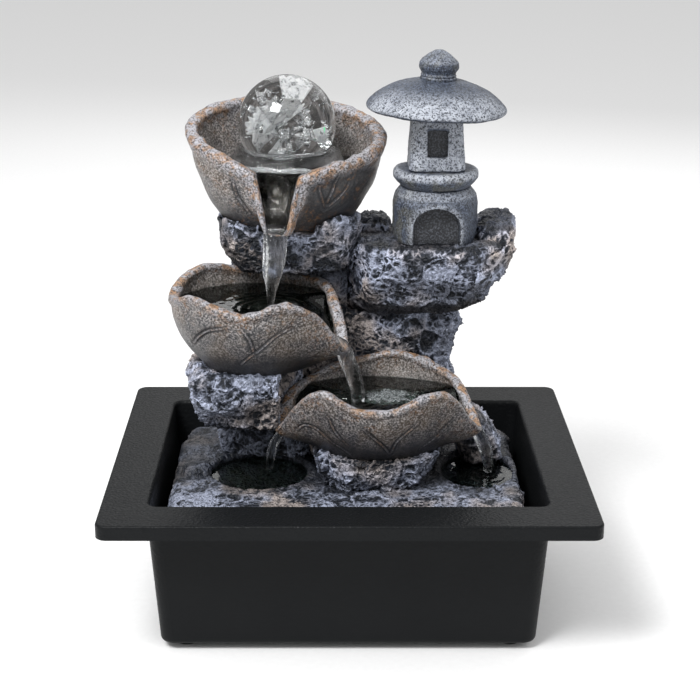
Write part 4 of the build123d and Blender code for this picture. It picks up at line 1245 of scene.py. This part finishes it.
def make_bowl_water(node, drops, seed, inner=0.0):
    """The water in a leaf bowl, a closed body that follows the bowl's inside."""
    leaf, columns = LEAVES[node], 200
    centre, _, foot = leaf_plan(node)
    bearing = np.linspace(0, 360, columns, endpoint=False)
    rim = rim_of(leaf, bearing)
    top = water_top(leaf, bearing)
    part = np.clip((top - leaf["floor"]) / (rim - LIP_RISE - leaf["floor"]), 0.05, 1)
    rows, steps = [], 30
    for s in np.linspace(inner + 0.02, 1, steps):
        edge = on_leaf(node, bearing, part, leaf["floor"], inner_share(part), LIP - 0.3, 0)
        flat = centre + (edge[:, :2] - centre) * s
        z = foot + leaf["level"] + (top - leaf["level"]) * step_up(np.array(s), 0.45, 1.0)
        rows.append(np.column_stack([flat, z]))
    surface = np.concatenate(rows)
    if leaf["chute"][1]:
        surface[:, 2] = chute_film(node, surface, bearing, steps)
    calm = np.repeat(1 - step_up(np.linspace(0, 1, steps), 0.8, 1), columns)
    ripple = rings_on_water(surface, drops) + 0.12 * wander(surface / 3.0, seed)
    surface[:, 2] += ripple * np.maximum(calm, 0.15)
    under = [on_leaf(node, bearing, part * p, leaf["floor"] - 0.5, inner_share(part * p), LIP - 0.7, 0)
             for p in np.linspace(0.9, 0, 8)]
    p = np.vstack([surface] + under)
    count = steps + len(under)
    ends = [(*centre, surface[:columns, 2].mean()), (*centre, foot + leaf["floor"] - 0.5)]
    faces = tube_faces(count, columns, len(p), len(p) + 1)
    name = node.replace("leaf_bowl", "water")
    mesh = closed(name, np.vstack([p, ends]), faces)
    make_piece(name, mesh, "sculpture", "film" if leaf["chute"][1] else "water", "clear")


def make_pool_water(name, centre, half, drops, seed):
    """The water in a pool of the base, with its ripples."""
    columns, steps = 120, 30
    t = np.linspace(0, 2 * math.pi, columns, endpoint=False)
    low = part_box("rock_base")[1].z / MM - POOL_DEPTH
    rows = [np.column_stack([centre[0] + s * (half[0] + 0.8) * np.cos(t),
                             centre[1] + s * (half[1] + 0.8) * np.sin(t),
                             np.full(columns, low + POOL_WATER)]) for s in np.linspace(0.02, 1, steps)]
    surface = np.concatenate(rows)
    surface[:, 2] += rings_on_water(surface, drops) + 0.10 * wander(surface / 4.0, seed)
    bottom = rows[-1] - np.array([0, 0, POOL_WATER])
    p = np.vstack([surface, bottom, [(*centre, low + POOL_WATER)], [(*centre, low)]])
    faces = tube_faces(steps + 1, columns, len(p) - 2, len(p) - 1)
    mesh = closed(name, p, faces)
    make_piece(name, mesh, "sculpture", "pool", "clear")


def make_stream(name, points, sizes, seed, turn=(0.0, 0.0), columns=36, rows=90):
    """A falling ribbon of water: (half width, half thickness) at each point, twisting as it falls."""
    line = smooth_line(points, rows)
    size = smooth_line(sizes, rows)
    rings = []
    for k, (centre, (wide, thick)) in enumerate(zip(line, size)):
        share = k / (rows - 1)
        twist = math.radians(turn[0] + (turn[1] - turn[0]) * share)
        t = np.linspace(0, 2 * math.pi, columns, endpoint=False)
        across, through = wide * np.cos(t), thick * np.sin(t) * (1 - 0.35 * np.cos(2 * t))
        x = across * math.cos(twist) - through * math.sin(twist)
        y = across * math.sin(twist) + through * math.cos(twist)
        rings.append(np.column_stack([centre[0] + x, centre[1] + y, np.full(columns, centre[2])]))
    p = np.vstack(rings + [line[:1], line[-1:]])
    faces = tube_faces(rows, columns, len(p) - 2, len(p) - 1)
    mesh = closed(name, p, faces)
    p, n = points_of(mesh), normals_of(mesh)
    long = p / np.array([1.6, 1.6, 9.0])
    set_points(mesh, p + n * (0.34 * wander(long, seed) + 0.12 * wander(p / 1.1, seed + 1))[:, None])
    make_piece(name, mesh, "sculpture", "stream", "clear")


def make_foam(name, centre, half, seed):
    """Bubbles where the stream lands: a low closed patch of small domes that sinks at its edge."""
    rings, columns = 46, 130
    t = np.linspace(0, 2 * math.pi, columns, endpoint=False)
    share = np.repeat(np.linspace(0.02, 1, rings), columns)
    u, v = share * np.tile(np.cos(t), rings), share * np.tile(np.sin(t), rings)
    flat = np.column_stack([centre[0] + u * half[0], centre[1] + v * half[1], np.zeros(len(u))])
    near, _, tag, _ = cells(flat / 1.15, seed)
    fine = cells(flat / 0.7 + 9.0, seed + 1)[0]
    dome = np.sqrt(np.clip(1 - (near / 0.62) ** 2, 0, 1)) * (0.35 + 0.65 * tag[:, 0])
    edge = 1 - step_up(share + 0.35 * wander(flat / 4.0, seed + 2), 0.60, 0.98)
    height = edge * (0.8 + 0.75 * dome + 0.25 * (1 - fine))
    top = np.column_stack([flat[:, :2], centre[2] - 0.9 + height])
    low = top[-columns:] - (0, 0, 0.3)
    middle = [(centre[0], centre[1], centre[2]), (centre[0], centre[1], centre[2] - 1.2)]
    faces = tube_faces(rings + 1, columns, len(top) + columns, len(top) + columns + 1)
    mesh = closed(name, np.vstack([top, low, middle]), faces)
    make_piece(name, mesh, "sculpture", "foam", "clear")


def make_collar():
    """The rolling ring of water between the ball and its seat."""
    lo, hi = box_of("ball_seat")
    middle, top = (lo + hi) / 2, hi[2]
    columns = 160
    t = np.linspace(0, 2 * math.pi, columns, endpoint=False)
    profile = smooth_line([(18.5, top - 5.6), (20.2, top - 2.0), (20.9, top - 0.4), (20.7, top + 0.5),
                           (20.0, top + 1.3), (20.5, top + 1.9), (21.9, top + 1.4),
                           (23.4, top - 0.6), (24.6, top - 3.0), (25.6, top - 4.9),
                           (25.0, top - 5.7), (18.7, top - 5.8)], 40)
    rings = []
    for r, z in profile:
        wave = 0.35 * np.sin(5 * t + z) + 0.25 * np.sin(9 * t - 1.7 * z)
        out = r + wave * step_up(np.array(r), 20.8, 23.0)
        lift = 0.25 * np.sin(7 * t + 0.6) * step_up(np.array(r), 20.8, 23.0)
        rings.append(np.column_stack([middle[0] + out * np.cos(t), middle[1] + out * np.sin(t),
                                      z + lift]))
    p = np.vstack(rings)
    faces = ring_faces(len(profile), columns)
    last = (len(profile) - 1) * columns
    faces += [(last + c, last + (c + 1) % columns, (c + 1) % columns, c) for c in range(columns)]
    mesh = closed("water_collar", p, faces)
    make_piece("water_collar", mesh, "ball_seat", "stream", "clear")


LIP_TOP = spot("leaf_bowl_top", -4.3, -35.0, 2.6)
LAND_MIDDLE = spot("leaf_bowl_middle", 6.1, -11.0, 28.0)
SPOUT_MIDDLE = spot("leaf_bowl_middle", 37.5, -11.5, 12.0)
LAND_LOWER = spot("leaf_bowl_lower", -8.7, -2.0, 20.2)
SPOUT_LEFT = spot("leaf_bowl_lower", -42.6, -4.0, 7.0)
SPOUT_RIGHT = spot("leaf_bowl_lower", 44.5, -3.5, 6.5)
LAND_LEFT = spot("rock_base", -35.8, -7.0, 53.0)
LAND_RIGHT = spot("rock_base", 63.6, -8.0, 53.0)

make_bowl_water("leaf_bowl_top", [], 31, 0.50)
make_bowl_water("leaf_bowl_middle", [(LAND_MIDDLE, 0.55, 4.2)], 32)
make_bowl_water("leaf_bowl_lower", [(LAND_LOWER, 0.5, 3.6)], 33)
make_pool_water("water_pool_left", *POOLS["left"], [(LAND_LEFT, 0.25, 4.5)], 34)
make_pool_water("water_pool_right", *POOLS["right"], [(LAND_RIGHT, 0.25, 4.5)], 35)
make_stream("water_fall_top",
            [LIP_TOP + (0, 8.0, 5.2), LIP_TOP + (0, 3.5, 2.0), LIP_TOP, LIP_TOP + (0, -1.8, -5),
             LIP_TOP + (-0.9, -2.4, -14), LIP_TOP + (-1.7, -2.6, -24), LAND_MIDDLE],
            [(4.6, 0.8), (5.0, 1.2), (5.3, 1.5), (5.4, 1.7), (4.9, 1.9), (2.7, 1.6), (0.9, 0.9)],
            41, (0, 35))
make_stream("water_fall_middle",
            [SPOUT_MIDDLE + (-3.5, 0.6, 3.0), SPOUT_MIDDLE, SPOUT_MIDDLE + (3.0, 0.2, -8.5),
             SPOUT_MIDDLE + (6.8, 0.0, -19.5), LAND_LOWER],
            [(2.6, 1.6), (3.6, 1.6), (3.9, 1.5), (3.5, 1.6), (2.9, 1.5)], 42, (10, -15))
make_stream("water_fall_left",
            [SPOUT_LEFT + (2.5, 0.0, 2.2), SPOUT_LEFT, SPOUT_LEFT + (-4.4, 0, -7),
             SPOUT_LEFT + (-6.0, -0.5, -15), LAND_LEFT + (0, 0, 5)],
            [(1.6, 2.0), (2.2, 1.8), (2.2, 1.2), (2.0, 1.1), (1.7, 1.0)], 43, (0, 20))
make_stream("water_fall_right",
            [SPOUT_RIGHT + (-2.5, 0.5, 2.2), SPOUT_RIGHT, SPOUT_RIGHT + (3.6, 0, -7.5),
             SPOUT_RIGHT + (5.0, -0.5, -14), LAND_RIGHT + (0, 0, 4)],
            [(2.6, 1.8), (3.4, 1.5), (3.2, 1.2), (2.6, 1.2), (1.8, 1.0)], 44, (0, -20))
make_foam("water_foam", LAND_LOWER + (13.0, 6.0, 0.3), (13.0, 10.5), 45)
make_collar()


# CAD nodes that keep their own meshes

KEPT = {
    "basin": "basin", "rubber_feet": "rubber", "cord_grommet": "rubber", "ball_seat": "clear",
    "lamp_housing": "lamp_plastic", "lamp_board": "board", "lamp_lens": "clear",
    "lamp_lead": "lead", "lamp_plug": "lead", "lamp_socket": "pump", "water_hose": "hose",
    "pump_housing": "pump", "pump_base_plate": "pump", "pump_stator": "winding",
    "pump_cord_gland": "rubber", "pump_suction_cups": "suction", "pump_shaft": "ceramic",
    "pump_rear_bush": "rubber", "pump_impeller": "impeller", "rotor_magnet": "magnet",
    "pump_cover": "pump", "flow_dial": "dial",
}

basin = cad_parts["basin"].data
rim_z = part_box("basin")[1].z / MM
put(basin, "rim", step_up(points_of(basin)[:, 2], rim_z - 8, rim_z - 6))

for node, finish in KEPT.items():
    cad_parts[node].data.materials.clear()
    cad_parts[node].data.materials.append(MATERIALS[finish])
